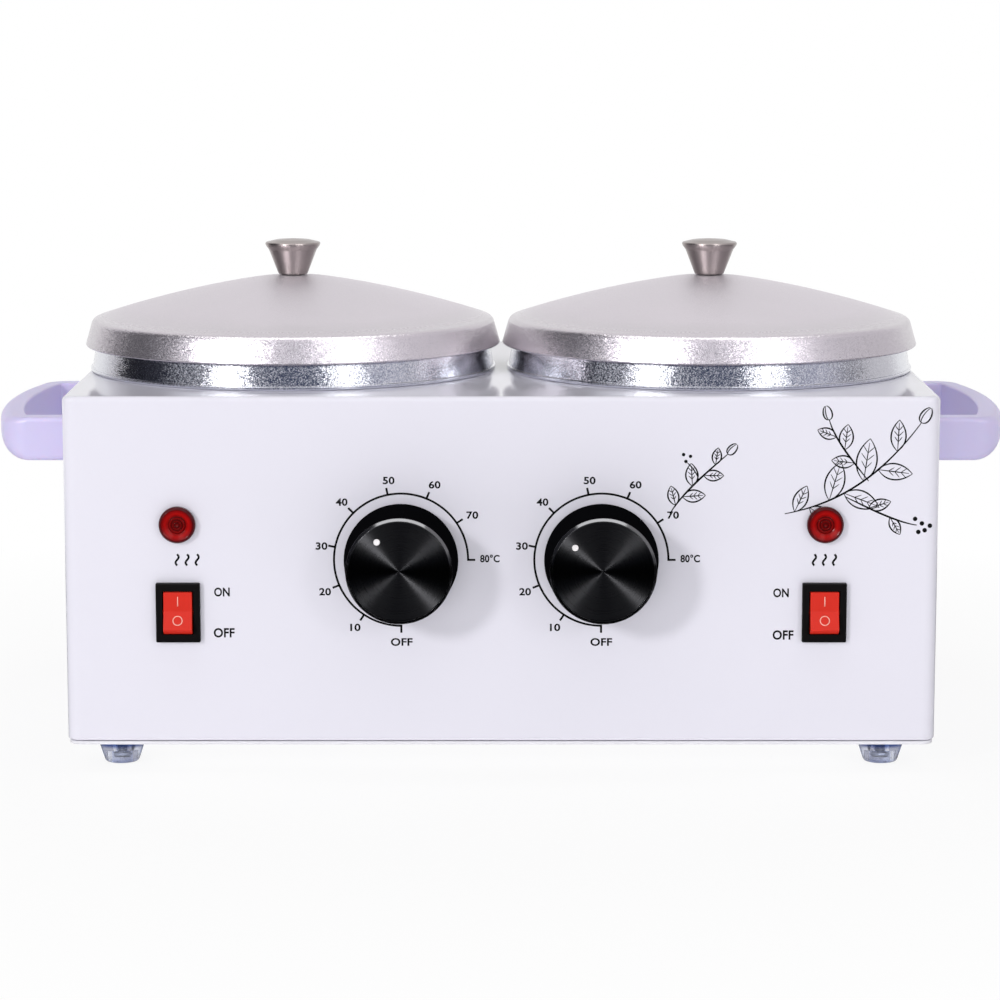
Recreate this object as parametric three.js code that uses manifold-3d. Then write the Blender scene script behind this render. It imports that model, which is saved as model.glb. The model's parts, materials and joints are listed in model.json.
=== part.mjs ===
// Double wax warmer: two lidded aluminium pots hang in heated wells in one folded steel housing, and
// each well has its own rocker switch, pilot lamp and dial thermostat on the front panel.
// Millimetres, +Z up, -Y towards the user. The origin is on the floor, under the middle of the box.
import * as THREE from "three";
import { mergeVertices } from "three/addons/utils/BufferGeometryUtils.js";
import Module from "manifold-3d";

const wasm = await Module();
wasm.setup();

// Fits and facets that every piece shares
const SEAT = 0.3; // gap between two pieces that rest on each other
const SCREW_CLEARANCE = 0.3; // radial gap round a screw's shank
const OVERRUN = 1; // how far a cutter runs past the wall that it cuts
const MERGE = 1e-4; // corners closer than this are one corner
const BIG_SIDES = 32; // wells, pots, lids and what fits round them
const KNOB_SIDES = 28;
const SMALL_SIDES = 16;
const SCREW_SIDES = 6;
const CORNER_STEPS = 3; // facets of a bend that shows
const BEND_STEPS = 2; // facets of a bend that is small or hidden
const QUARTER = Math.PI / 2;
const CHAMFER_SHARE = 0.25; // how far a two-facet bend's corners stand off its sharp corner
const DOME_HALF_SHARE = 0.75; // of a dome's rise, at half its radius

// Housing: one folded steel box, open below, with a narrow lip turned in all round its foot
const HOUSING_W = 305.5;
const HOUSING_H = 121.9;
const LID_MARGIN = 14.05; // from a lid's edge to the front and to the back
const SHEET = 1.2;
const TOP_BEND_R = 3.4;
const CORNER_R = 4.6;
const LIP_W = 12;

// Base plate, screwed up against the lip
const PLATE_T = 1.2;
const PLATE_INSET = 0.5;
const PLATE_SCREW_Y = 38;
const VENT_COUNT = 4;
const VENT_L = 40;
const VENT_W = 4;
const VENT_PITCH = 9;

// Feet: tapered, with a counterbore that hides the screw head
const FOOT_H = 10;
const FOOT_TOP_R = 9;
const FOOT_SOLE_R = 6.3;
const FOOT_ROUND = 1.4;
const FOOT_BORE_R = 3.7;
const FOOT_BORE_DEPTH = 4.6;
const FOOT_FROM_SIDE = 16.95;
const FOOT_FROM_EDGE = 21; // from the front and from the back

// Screws: pan heads on plain shanks
const SCREW_R = 1.9;
const SCREW_HEAD_R = 3.2;
const SCREW_HEAD_H = 2;
const FOOT_SCREW_END = 4; // what stands up above the base plate
const PLATE_SCREW_END = 3; // what stands up above the lip
const HANDLE_SCREW_L = 14; // what reaches into the handle's arm

// Wells: spun aluminium cups whose flared collars rest on the housing's top
const WELL_WALL = 1.2;
const WELL_FLOOR_GAP = 37.9; // from the housing's foot up to the well
const WELL_FOOT_R = 6;
const WELL_HOLE_GAP = 0.6;
const COLLAR_H = 15.24;
const COLLAR_FOOT_W = 4.2; // how far the collar's foot lies outside the well
const COLLAR_LEAN = 2.4; // how much narrower the collar is at its top
const COLLAR_BEAD = 0.55;

// Pots: lift-out wax pots, each hanging by a rolled rim on its well's collar
const POT_GAP = 0.9;
const POT_WALL = 1;
const POT_FOOT_R = 8;
const POT_ROLL_R = 1.3;
const POT_FLARE_H = 4;
const POT_ROLL_STEPS = 5;

// Lids: a shallow, slightly crowned cone with a flared skirt round the pot's rim
const LID_GAP = 0.7; // between the two lids
const LID_OVERHANG = 1.5; // past the housing's side
const LID_WALL = 1.05;
const LID_SKIRT_H = 9.1; // from the skirt's edge up to the shoulder
const LID_SKIRT_FLARE = 2.7; // how much wider the edge is than the shoulder
const LID_SHOULDER_ROUND = 1.2;
const LID_SLOPE_SHARE = 0.25; // fall of the cone for each millimetre outwards
const LID_CROWN = 1.2; // how far the cone bulges, half-way out
const LID_CONE_SHARES = [0.5]; // places on the cone with a ring of corners
const LID_DOME_R = 16; // inside this the cone rounds off into a dome
const LID_DOME_SHARES = [1, 0.5]; // radii at which the dome has a ring of corners
const LID_SHOULDER_DROP = 0.3; // from the cone's end down to the shoulder

// Lid knobs: turned, tapered, with a domed cap
const LID_KNOB_H = 13.1;
const LID_KNOB_BASE_R = 5.35;
const LID_KNOB_BASE_ROUND = 0.6;
const LID_KNOB_NECK_R = 8.95;
const LID_KNOB_NECK_Z = 9.1;
const LID_KNOB_RIM_R = 10.2;
const LID_KNOB_RIM_Z = 11.2;
const LID_KNOB_RIM_ROUND = 0.55;
const LID_KNOB_BORE_DEPTH = 8;
const LID_SCREW_REACH = 7;

// Heater bands: mica-wound strips clamped round the wells, open at the back
const BAND_T = 1.5;
const BAND_H_SHARE = 0.476; // of the well's depth
const BAND_DROP_SHARE = 0.262; // from the housing's top down to the band
const BAND_EAR = 8;
const BAND_EAR_T = 1.6;
const BAND_OPENING = 9; // between the two clamp ears

// Stands: bent straps between the base plate and the wells
const STAND_T = 1.5;
const STAND_W = 30;
const STAND_TOP_L = 44;
const STAND_FOOT_L = 12;
const STAND_SPREAD = 8; // how much each leg leans outwards

// Thermostats: body behind the panel, threaded bush through it, two screws beside the bush
const DIAL_X = 34.95;
const DIAL_DROP_SHARE = 0.47; // of the housing's height, down from its top
const STAT_W = 24;
const STAT_H = 34;
const STAT_D = 17;
const STAT_ROUND = 2;
const STAT_TERMINAL_W = 6.3;
const STAT_TERMINAL_T = 0.8;
const STAT_TERMINAL_L = 5;
const STAT_TERMINAL_PITCH = 14;
const BUSH_R = 5;
const BUSH_REACH = 4; // in front of the panel
const STAT_SCREW_PITCH = 28;
const STAT_EAR_W = 9;
const STAT_EAR_T = 2;
const SPINDLE_R = 3;
const SPINDLE_FLAT_SHARE = 0.5; // the flat lies this share of the radius from the axis
const SPINDLE_GAP = 0.4;
const SPINDLE_IN_BODY = 8;
const SPINDLE_OUT = 19; // in front of the panel

// Temperature sensors: a capillary from the thermostat to a bulb that lies against the well
const BULB_R = 2.5;
const BULB_L = 40;
const BULB_RISE = 6.5; // above the well's floor
const CAPILLARY_R = 0.9;
const CAPILLARY_SIDES = 6;
const CAPILLARY_STEPS = 9;
const CAPILLARY_SLACK = 3; // how far its bend stands off the thermostat
const CAPILLARY_DROP = 12; // below the dial's axis where it leaves the thermostat

// Dial knobs: turned aluminium with a recessed back and a drilled pointer dot
const KNOB_GAP = 1;
const KNOB_L = 23;
const KNOB_BASE_R = 20;
const KNOB_FACE_R = 18.5;
const KNOB_CHAMFER = 1.1;
const KNOB_RECESS_R = 17.6;
const KNOB_RECESS_DEPTH = 6;
const KNOB_BORE_END = 3; // metal left between the bore and the face
const DOT_R = 1.2;
const DOT_AT_R = 12.7;
const DOT_DEPTH = 0.5;
const DIAL_ANGLES = { left: 126.7, right: 139.4 }; // pointer, degrees up from three o'clock

// Pilot lamps: ringed lens in front of the panel, holder through it
const LAMP_FROM_SIDE = 39.95;
const LAMP_DROP_SHARE = 0.3667;
const LENS_R = 6.4;
const LENS_H = 3.4;
const LENS_RIM_H = 1.9;
const LENS_EDGE = 0.8;
const LENS_GROOVE_R = 4.3;
const LENS_GROOVE_W = 0.8;
const LENS_GROOVE_DEPTH = 0.6;
const LAMP_BODY_R = 4.7;
const LAMP_HOLE_GAP = 0.4;
const LAMP_NUT_R = 7;
const LAMP_NUT_H = 3;
const LAMP_BODY_L = 15;
const LAMP_TIP_R = 3.4;
const LAMP_SIDES = 12;

// Rocker switches: snap-in body, rocker on two trunnions
const SWITCH_FROM_SIDE = 39.85;
const SWITCH_DROP_SHARE = 0.6218;
const BEZEL_W = 15.5;
const BEZEL_H = 21;
const BEZEL_T = 1.9;
const BEZEL_ROUND = 0.4;
const NECK_W = 12.9;
const NECK_H = 18.9;
const NECK_D = 12.5; // behind the panel's face
const NECK_GAP = 0.3;
const WINDOW_W = 10.9;
const WINDOW_H = 15.3;
const PIVOT_DEPTH = 2.6; // behind the bezel's face
const ROCKER_GAP = 0.25;
const ROCKER_TILT = 10.5; // half of its travel, in degrees
const ROCKER_PROUD = 0.4; // pressed half in front of the bezel
const ROCKER_TAIL = 3.6; // behind the pivot
const TRUNNION_R = 1.1;
const TRUNNION_GAP = 0.3;
const TRUNNION_L = 0.6;
const BLADE_W = 4.8;
const BLADE_T = 0.8;
const BLADE_L = 6;
const BLADE_PITCH = 7;

// Handles: a swept loop on each side, bowed outwards, round below and crisp on top
const HANDLE_L = 110;
const HANDLE_REACH = 29.7;
const HANDLE_W = 8.6;
const HANDLE_H = 15.6;
const HANDLE_DROP = 11.8;
const HANDLE_BOW_R = 420;
const HANDLE_TURN_R = 7; // of the centre line
const HANDLE_OUTER_ROUND = 6.8; // below
const HANDLE_INNER_ROUND = 1.4; // below
const HANDLE_OUTER_TOP_ROUND = 3.4;
const HANDLE_INNER_TOP_ROUND = 1;
const HANDLE_TURN_STEPS = 4;
const HANDLE_BOW_STEPS = 4;

// Cord gland in the back wall, and the terminal block that the cord is wired to
const GLAND_RISE = 23.9; // above the housing's foot
const GLAND_BORE_R = 3.6;
const GLAND_R = 6.2;
const GLAND_HOLE_GAP = 0.3;
const GLAND_FLANGE_R = 9;
const GLAND_FLANGE_T = 2.5;
const GLAND_REACH = 10;
const GLAND_TIP_R = 5;
const GLAND_NUT_R = 8.6;
const GLAND_NUT_H = 4;
const GLAND_TAIL = 3;
const BLOCK_FROM_BACK = 39;
const BLOCK_W = 42;
const BLOCK_D = 18;
const BLOCK_H = 9;
const BLOCK_TOWER_D = 8;
const BLOCK_TOWER_H = 6;
const BLOCK_POLES = 3;
const BLOCK_WIRE_R = 1.8;
const BLOCK_SCREW_R = 1.9;

// Heights and depths that follow
const PLATE_Z = FOOT_H + SEAT;
const HOUSING_Z = PLATE_Z + PLATE_T + SEAT;
const TOP_Z = HOUSING_Z + HOUSING_H;
const SIDE_X = HOUSING_W / 2;
const KNOB_REACH = KNOB_GAP + KNOB_L;
const CENTRE_Y = (KNOB_REACH - GLAND_REACH) / 2;
// The two lids share the housing's width. Each one's skirt clears the pot's rolled rim, which lies on
// the collar's top, and the collar stands on the flange round its well.
const LID_R = (SIDE_X + LID_OVERHANG - LID_GAP / 2) / 2;
const WELL_X = LID_R + LID_GAP / 2;
const HOUSING_D = 2 * (LID_R + LID_MARGIN);
const FRONT_Y = -HOUSING_D / 2;
const BACK_Y = HOUSING_D / 2;
const LID_SHOULDER_R = LID_R - LID_SKIRT_FLARE;
const POT_ROLL_AT_R = LID_SHOULDER_R - LID_WALL - SEAT - POT_ROLL_R;
const COLLAR_TOP_R = POT_ROLL_AT_R + WELL_WALL / 2;
const COLLAR_FOOT_R = COLLAR_TOP_R + COLLAR_LEAN;
const WELL_R = COLLAR_FOOT_R - COLLAR_FOOT_W;
const POT_R = WELL_R - WELL_WALL - POT_GAP;
const WELL_DEPTH = HOUSING_H - WELL_FLOOR_GAP;
const POT_ROLL_Z = COLLAR_H + SEAT + POT_ROLL_R;
const POT_BASE_Z = -WELL_DEPTH + WELL_WALL + SEAT;
// The cone's underside touches the rolled rim square to its slope.
const LID_CROWN_SLOPE = (4 * LID_CROWN) / (LID_SHOULDER_R - LID_DOME_R);
const LID_UNDER_Z = POT_ROLL_Z + (POT_ROLL_R + SEAT) * Math.hypot(1, LID_SLOPE_SHARE + LID_CROWN_SLOPE);
const LID_CONE_Z = LID_UNDER_Z + LID_WALL - lidRise(POT_ROLL_AT_R);
const LID_SHOULDER_Z = LID_CONE_Z - LID_SHOULDER_DROP;
const LID_SKIRT_Z = LID_SHOULDER_Z - LID_SKIRT_H;
const BAND_H = WELL_DEPTH * BAND_H_SHARE;
const BAND_DROP = WELL_DEPTH * BAND_DROP_SHARE;
const BULB_Y = -(WELL_R + SEAT + BULB_R);
const BULB_DROP = WELL_DEPTH - BULB_RISE;
const FOOT_X = SIDE_X - FOOT_FROM_SIDE;
const LAMP_X = SIDE_X - LAMP_FROM_SIDE;
const SWITCH_X = SIDE_X - SWITCH_FROM_SIDE;
const DIAL_Z = dropTo(HOUSING_H * DIAL_DROP_SHARE);
const LAMP_Z = dropTo(HOUSING_H * LAMP_DROP_SHARE);
const SWITCH_Z = dropTo(HOUSING_H * SWITCH_DROP_SHARE);
const GLAND_Z = HOUSING_Z + GLAND_RISE;
const WINDOW_ARC_R = Math.hypot(WINDOW_H / 2, PIVOT_DEPTH);
const ROCKER_R = WINDOW_ARC_R - ROCKER_GAP;
const SIDES = { left: -1, right: 1 };

const FINISHES = {
  enamel: finish(0xe6e4ee, 0.16, 0),
  plate: finish(0xdad8e2, 0.35, 0.1),
  lavender: finish(0xcfc8ec, 0.42, 0),
  spun: finish(0xc9c8cc, 0.22, 1),
  frosted: finish(0xcdcacf, 0.48, 1),
  turned: finish(0xa29b98, 0.28, 1),
  steel: finish(0xb8b8ba, 0.34, 1),
  anodised: finish(0x151517, 0.32, 0.6),
  black: finish(0x17171a, 0.4, 0),
  red: finish(0xd8281f, 0.3, 0),
  lens: finish(0xb80f18, 0.12, 0),
  foot: finish(0x7d86ad, 0.3, 0),
  mica: finish(0x9c8a64, 0.6, 0),
  copper: finish(0xb4683c, 0.3, 1),
  phenolic: finish(0xcfc9b6, 0.55, 0),
};

function finish(color, roughness, metalness) {
  return new THREE.MeshStandardMaterial({ color, roughness, metalness });
}

// Solid geometry

// A closed mesh as a solid that can be cut and joined.
function solidOf(geometry) {
  const bare = geometry.index ? geometry.toNonIndexed() : geometry.clone();
  for (const name of Object.keys(bare.attributes)) if (name !== "position") bare.deleteAttribute(name);
  const merged = mergeVertices(bare, MERGE);
  const source = merged.index.array;
  const kept = [];
  for (let i = 0; i < source.length; i += 3) {
    const [a, b, c] = [source[i], source[i + 1], source[i + 2]];
    if (a !== b && b !== c && c !== a) kept.push(a, b, c);
  }
  const vertProperties = merged.attributes.position.array;
  return new wasm.Manifold(new wasm.Mesh({ numProp: 3, vertProperties, triVerts: new Uint32Array(kept) }));
}

function geometryOf(solid) {
  const mesh = solid.getMesh();
  const points = new Float32Array(mesh.numVert * 3);
  for (let i = 0; i < mesh.numVert; i++) {
    points.set(mesh.vertProperties.subarray(i * mesh.numProp, i * mesh.numProp + 3), i * 3);
  }
  const indexed = new THREE.BufferGeometry();
  indexed.setAttribute("position", new THREE.BufferAttribute(points, 3));
  indexed.setIndex(new THREE.BufferAttribute(mesh.triVerts, 1));
  const flat = indexed.toNonIndexed();
  flat.computeVertexNormals();
  return flat;
}

function cut(geometry, ...cutters) {
  return geometryOf(cutters.reduce((solid, cutter) => solid.subtract(solidOf(cutter)), solidOf(geometry)));
}

function join(geometry, ...others) {
  return geometryOf(others.reduce((solid, other) => solid.add(solidOf(other)), solidOf(geometry)));
}

// A profile of [radius, height] pairs turned about Z, its outer side listed upwards.
function revolve(profile, sides) {
  const points = profile.map(([r, z]) => new THREE.Vector2(r, z));
  return new THREE.LatheGeometry(points, sides).rotateX(QUARTER);
}

// A ring: the same for a profile that never meets the axis.
function revolveRing(profile, sides) {
  return revolve([...profile, profile[0]], sides);
}

function rod(radius, bottom, top, sides) {
  const geometry = new THREE.CylinderGeometry(radius, radius, top - bottom, sides);
  return geometry.rotateX(QUARTER).translate(0, 0, (top + bottom) / 2);
}

function block(width, depth, height) {
  return new THREE.BoxGeometry(width, depth, height);
}

function prism(shape, height) {
  const options = { depth: height, bevelEnabled: false, curveSegments: CORNER_STEPS };
  return new THREE.ExtrudeGeometry(shape, options);
}

// Points of an arc from one angle to another, both ends kept.
function arc(x, y, radius, from, to, steps) {
  return Array.from({ length: steps + 1 }, (_, i) => {
    const angle = from + ((to - from) * i) / steps;
    return [x + radius * Math.cos(angle), y + radius * Math.sin(angle)];
  });
}

function roundedOutline(width, height, radius) {
  const x = width / 2 - radius;
  const y = height / 2 - radius;
  const corners = [
    [x, y, 0],
    [-x, y, 1],
    [-x, -y, 2],
    [x, -y, 3],
  ];
  return corners.flatMap(([cx, cy, turn]) =>
    arc(cx, cy, radius, turn * QUARTER, (turn + 1) * QUARTER, CORNER_STEPS),
  );
}

function shapeOf(outline) {
  return new THREE.Shape(outline.map(([x, y]) => new THREE.Vector2(x, y)));
}

// A skin through rings with equal counts of points, each ring turning left seen from the next one,
// closed by a fan at each end.
function loft(rings) {
  const count = rings[0].length;
  const points = rings.flat().flatMap((p) => [p.x, p.y, p.z]);
  const index = [];
  for (let k = 0; k + 1 < rings.length; k++) {
    for (let i = 0; i < count; i++) {
      const a = k * count + i;
      const b = k * count + ((i + 1) % count);
      index.push(a, b, b + count, a, b + count, a + count);
    }
  }
  const last = (rings.length - 1) * count;
  for (let i = 1; i + 1 < count; i++) {
    index.push(0, i + 1, i, last, last + i, last + i + 1);
  }
  const geometry = new THREE.BufferGeometry();
  geometry.setAttribute("position", new THREE.Float32BufferAttribute(points, 3));
  geometry.setIndex(index);
  return geometry;
}

// Turns a piece modelled with Z outwards and Y up so that it looks out of the front, back or a side.
const toFront = (geometry) => geometry.rotateX(QUARTER);
const toBack = (geometry) => geometry.rotateX(-QUARTER);
const toSide = (geometry, side) => geometry.rotateY(side * QUARTER);

// Sheet metal

// A box with round corners in plan and a round bend along its top edges.
function foldedBox(width, depth, bottom, top, cornerRadius, bend) {
  const ring = (inset, z) =>
    roundedOutline(width - 2 * inset, depth - 2 * inset, cornerRadius - inset).map(
      ([x, y]) => new THREE.Vector3(x, y, z),
    );
  const bends = arc(0, 0, bend, 0, QUARTER, CORNER_STEPS).map(([x, y]) => ring(bend - x, top - bend + y));
  return loft([ring(0, bottom), ...bends]);
}

function housingShell() {
  const outside = foldedBox(HOUSING_W, HOUSING_D, HOUSING_Z, TOP_Z, CORNER_R, TOP_BEND_R);
  const inside = foldedBox(
    HOUSING_W - 2 * SHEET,
    HOUSING_D - 2 * SHEET,
    HOUSING_Z + SHEET,
    TOP_Z - SHEET,
    CORNER_R - SHEET,
    TOP_BEND_R - SHEET,
  );
  const mouth = block(HOUSING_W - 2 * LIP_W, HOUSING_D - 2 * LIP_W, SHEET + 2 * OVERRUN);
  mouth.translate(0, 0, HOUSING_Z + SHEET / 2);
  const wall = [-OVERRUN - SHEET, OVERRUN];
  const cutters = [inside, mouth];
  for (const side of Object.values(SIDES)) {
    cutters.push(
      rod(WELL_R + WELL_HOLE_GAP, ...wall, BIG_SIDES).translate(side * WELL_X, 0, TOP_Z),
      toFront(rod(BUSH_R + SCREW_CLEARANCE, ...wall, SMALL_SIDES)).translate(
        side * DIAL_X,
        FRONT_Y,
        DIAL_Z,
      ),
      toFront(rod(LAMP_BODY_R + LAMP_HOLE_GAP, ...wall, LAMP_SIDES)).translate(
        side * LAMP_X,
        FRONT_Y,
        LAMP_Z,
      ),
      block(NECK_W + 2 * NECK_GAP, 2 * (SHEET + OVERRUN), NECK_H + 2 * NECK_GAP).translate(
        side * SWITCH_X,
        FRONT_Y,
        SWITCH_Z,
      ),
    );
    for (const end of Object.values(SIDES)) {
      const screwHole = () => rod(SCREW_R + SCREW_CLEARANCE, ...wall, SCREW_SIDES);
      const statScrewX = side * DIAL_X + (end * STAT_SCREW_PITCH) / 2;
      cutters.push(
        toFront(screwHole()).translate(statScrewX, FRONT_Y, DIAL_Z),
        toSide(screwHole(), side).translate(side * SIDE_X, end * armY(), armZ()),
        screwHole().translate(side * plateScrewX(), end * PLATE_SCREW_Y, HOUSING_Z + SHEET),
      );
    }
  }
  cutters.push(
    toBack(rod(GLAND_R + GLAND_HOLE_GAP, ...wall, SMALL_SIDES)).translate(0, BACK_Y, GLAND_Z),
  );
  return cut(outside, ...cutters);
}

// Height of a point that lies so far below the housing's top
function dropTo(drop) {
  return TOP_Z - drop;
}

function plateScrewX() {
  return SIDE_X - LIP_W / 2;
}

function basePlate() {
  const shape = shapeOf(
    roundedOutline(HOUSING_W - 2 * PLATE_INSET, HOUSING_D - 2 * PLATE_INSET, CORNER_R - PLATE_INSET),
  );
  const hole = (x, y) => {
    const radius = SCREW_R + SCREW_CLEARANCE;
    return shapeOf(arc(x, y, radius, 0, 4 * QUARTER - (4 * QUARTER) / SCREW_SIDES, SCREW_SIDES - 1));
  };
  for (const side of Object.values(SIDES)) {
    for (let i = 0; i < VENT_COUNT; i++) {
      const x = side * WELL_X + (i - (VENT_COUNT - 1) / 2) * VENT_PITCH;
      const straight = VENT_L / 2 - VENT_W / 2;
      const front = arc(x, -straight, VENT_W / 2, -2 * QUARTER, 0, BEND_STEPS);
      const back = arc(x, straight, VENT_W / 2, 0, 2 * QUARTER, BEND_STEPS);
      shape.holes.push(shapeOf([...front, ...back]));
    }
    for (const end of Object.values(SIDES)) {
      shape.holes.push(hole(side * FOOT_X, end * footY()), hole(side * plateScrewX(), end * PLATE_SCREW_Y));
    }
  }
  return prism(shape, PLATE_T).translate(0, 0, PLATE_Z);
}

function footY() {
  return BACK_Y - FOOT_FROM_EDGE;
}

function foot() {
  const bore = SCREW_R + SCREW_CLEARANCE;
  return revolveRing(
    [
      [FOOT_BORE_R, 0],
      ...arc(FOOT_SOLE_R - FOOT_ROUND, FOOT_ROUND, FOOT_ROUND, -QUARTER, 0, BEND_STEPS),
      [FOOT_TOP_R, FOOT_H],
      [bore, FOOT_H],
      [bore, FOOT_BORE_DEPTH],
      [FOOT_BORE_R, FOOT_BORE_DEPTH],
    ],
    SMALL_SIDES,
  );
}

// A pan-head screw that points up, with the underside of its head at height zero.
function screw(length) {
  return revolve(
    [
      [0, -SCREW_HEAD_H],
      [SCREW_HEAD_R, -SCREW_HEAD_H],
      [SCREW_HEAD_R, 0],
      [SCREW_R, 0],
      [SCREW_R, length],
      [0, length],
    ],
    SCREW_SIDES,
  );
}

// Wells, pots and lids. Their heights count from the housing's top.

function heatingWell() {
  const inner = WELL_R - WELL_WALL;
  const beadZ = SEAT + COLLAR_BEAD;
  return revolve(
    [
      [0, -WELL_DEPTH],
      ...arc(WELL_R - WELL_FOOT_R, -WELL_DEPTH + WELL_FOOT_R, WELL_FOOT_R, -QUARTER, 0, BEND_STEPS),
      [WELL_R, SEAT],
      ...arc(COLLAR_FOOT_R, beadZ, COLLAR_BEAD, -QUARTER, QUARTER, BEND_STEPS),
      [COLLAR_TOP_R, COLLAR_H],
      [COLLAR_TOP_R - WELL_WALL, COLLAR_H],
      [COLLAR_FOOT_R - WELL_WALL, SEAT + WELL_WALL],
      [inner, SEAT + WELL_WALL],
      ...arc(
        inner - WELL_FOOT_R + WELL_WALL,
        -WELL_DEPTH + WELL_FOOT_R,
        WELL_FOOT_R - WELL_WALL,
        0,
        -QUARTER,
        BEND_STEPS,
      ),
      [0, -WELL_DEPTH + WELL_WALL],
    ],
    BIG_SIDES,
  );
}

function innerPot() {
  const inner = POT_R - POT_WALL;
  const flareZ = POT_ROLL_Z - POT_FLARE_H;
  return revolve(
    [
      [0, POT_BASE_Z],
      ...arc(POT_R - POT_FOOT_R, POT_BASE_Z + POT_FOOT_R, POT_FOOT_R, -QUARTER, 0, BEND_STEPS),
      [POT_R, flareZ],
      ...arc(POT_ROLL_AT_R, POT_ROLL_Z, POT_ROLL_R, -1.5 * QUARTER, 1.5 * QUARTER, POT_ROLL_STEPS),
      [inner, flareZ + POT_WALL],
      ...arc(
        inner - POT_FOOT_R + POT_WALL,
        POT_BASE_Z + POT_FOOT_R,
        POT_FOOT_R - POT_WALL,
        0,
        -QUARTER,
        BEND_STEPS,
      ),
      [0, POT_BASE_Z + POT_WALL],
    ],
    BIG_SIDES,
  );
}

// Rise of the lid's crowned cone, at a radius, above its end at the shoulder.
function lidRise(r) {
  const along = (LID_SHOULDER_R - r) / (LID_SHOULDER_R - LID_DOME_R);
  return LID_SLOPE_SHARE * (LID_SHOULDER_R - r) + 4 * LID_CROWN * along * (1 - along);
}

// Height of the lid's outer surface: a parabola inside the dome's radius, then the crowned cone.
function lidTop(r) {
  if (r >= LID_DOME_R) return LID_CONE_Z + lidRise(r);
  const slope = LID_SLOPE_SHARE - LID_CROWN_SLOPE;
  return LID_CONE_Z + lidRise(LID_DOME_R) + (slope * (LID_DOME_R ** 2 - r ** 2)) / (2 * LID_DOME_R);
}

function lidShell() {
  const hole = SCREW_R + SCREW_CLEARANCE;
  const coneRadii = LID_CONE_SHARES.map((share) => LID_DOME_R + (LID_SHOULDER_R - LID_DOME_R) * share);
  const ringRadii = [...coneRadii, ...LID_DOME_SHARES.map((share) => LID_DOME_R * share)];
  const shoulderIn = LID_SHOULDER_R - LID_SHOULDER_ROUND;
  const skirtIn = LID_R - LID_WALL;
  const stand = LID_SHOULDER_ROUND * CHAMFER_SHARE;
  const underRadii = [hole, ...ringRadii.toReversed(), shoulderIn - LID_WALL / 2];
  const top = [shoulderIn, ...ringRadii, hole].map((r) => [r, lidTop(r)]);
  const under = underRadii.map((r) => [r, lidTop(r) - LID_WALL]);
  return revolveRing(
    [
      [skirtIn, LID_SKIRT_Z],
      [LID_R, LID_SKIRT_Z],
      [LID_SHOULDER_R + stand, LID_SHOULDER_Z - LID_SHOULDER_ROUND],
      [LID_SHOULDER_R - stand, LID_SHOULDER_Z - stand],
      ...top,
      ...under,
      [LID_SHOULDER_R - LID_WALL, LID_SHOULDER_Z - LID_SHOULDER_ROUND],
    ],
    BIG_SIDES,
  );
}

function lidKnob() {
  const bore = SCREW_R + SCREW_CLEARANCE;
  const rimTop = LID_KNOB_RIM_Z + LID_KNOB_RIM_ROUND;
  return revolve(
    [
      [0, LID_KNOB_BORE_DEPTH],
      [bore, LID_KNOB_BORE_DEPTH],
      [bore, 0],
      [LID_KNOB_BASE_R - LID_KNOB_BASE_ROUND, 0],
      [LID_KNOB_BASE_R, LID_KNOB_BASE_ROUND],
      [LID_KNOB_NECK_R, LID_KNOB_NECK_Z],
      [LID_KNOB_NECK_R + LID_KNOB_RIM_ROUND, LID_KNOB_NECK_Z + LID_KNOB_RIM_ROUND],
      ...arc(
        LID_KNOB_RIM_R - LID_KNOB_RIM_ROUND,
        LID_KNOB_RIM_Z,
        LID_KNOB_RIM_ROUND,
        -QUARTER / 2,
        QUARTER,
        BEND_STEPS,
      ),
      [LID_KNOB_RIM_R / 2, rimTop + (LID_KNOB_H - rimTop) * DOME_HALF_SHARE],
      [0, LID_KNOB_H],
    ],
    SMALL_SIDES,
  );
}

// Heating and control pieces

// A C-shaped strip whose facets clear the round well, with a clamp ear turned out at each end.
function heaterBand() {
  const inner = (WELL_R + SEAT) / Math.cos(Math.PI / BIG_SIDES);
  const outer = inner + BAND_T;
  const halfGap = BAND_OPENING / 2;
  const half = Math.asin(halfGap / outer);
  const spread = Math.asin((halfGap + BAND_EAR_T) / outer);
  const ear = (x) => [
    [x, outer + BAND_EAR],
    [x + Math.sign(x) * BAND_EAR_T, outer + BAND_EAR],
    [x + Math.sign(x) * BAND_EAR_T, outer],
  ];
  const outline = [
    ...ear(-halfGap),
    ...arc(0, 0, outer, QUARTER + spread, 5 * QUARTER - spread, BIG_SIDES),
    ...ear(halfGap).toReversed(),
    ...arc(0, 0, inner, 5 * QUARTER - half, QUARTER + half, BIG_SIDES),
  ];
  return prism(shapeOf(outline), BAND_H);
}

// A strap bent like a hat, in the YZ plane and extruded along X, with its feet at height zero.
function wellStand() {
  const height = HOUSING_H + SEAT - WELL_DEPTH - 2 * SEAT;
  const topY = STAND_TOP_L / 2;
  const legY = topY + STAND_SPREAD;
  const half = [
    [topY, height],
    [legY, STAND_T],
    [legY + STAND_FOOT_L, STAND_T],
    [legY + STAND_FOOT_L, 0],
    [legY - STAND_T, 0],
    [topY - STAND_T, height - STAND_T],
  ];
  const mirrored = half.map(([y, z]) => [-y, z]).toReversed();
  const strap = prism(shapeOf([...mirrored, ...half]), STAND_W).translate(0, 0, -STAND_W / 2);
  return strap.rotateX(QUARTER).rotateZ(QUARTER);
}

function spindleShape(radius) {
  const flat = SPINDLE_R * SPINDLE_FLAT_SHARE + radius - SPINDLE_R;
  const from = Math.acos(flat / radius);
  return shapeOf(arc(0, 0, radius, from, 4 * QUARTER - from, SMALL_SIDES / 2));
}

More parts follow.
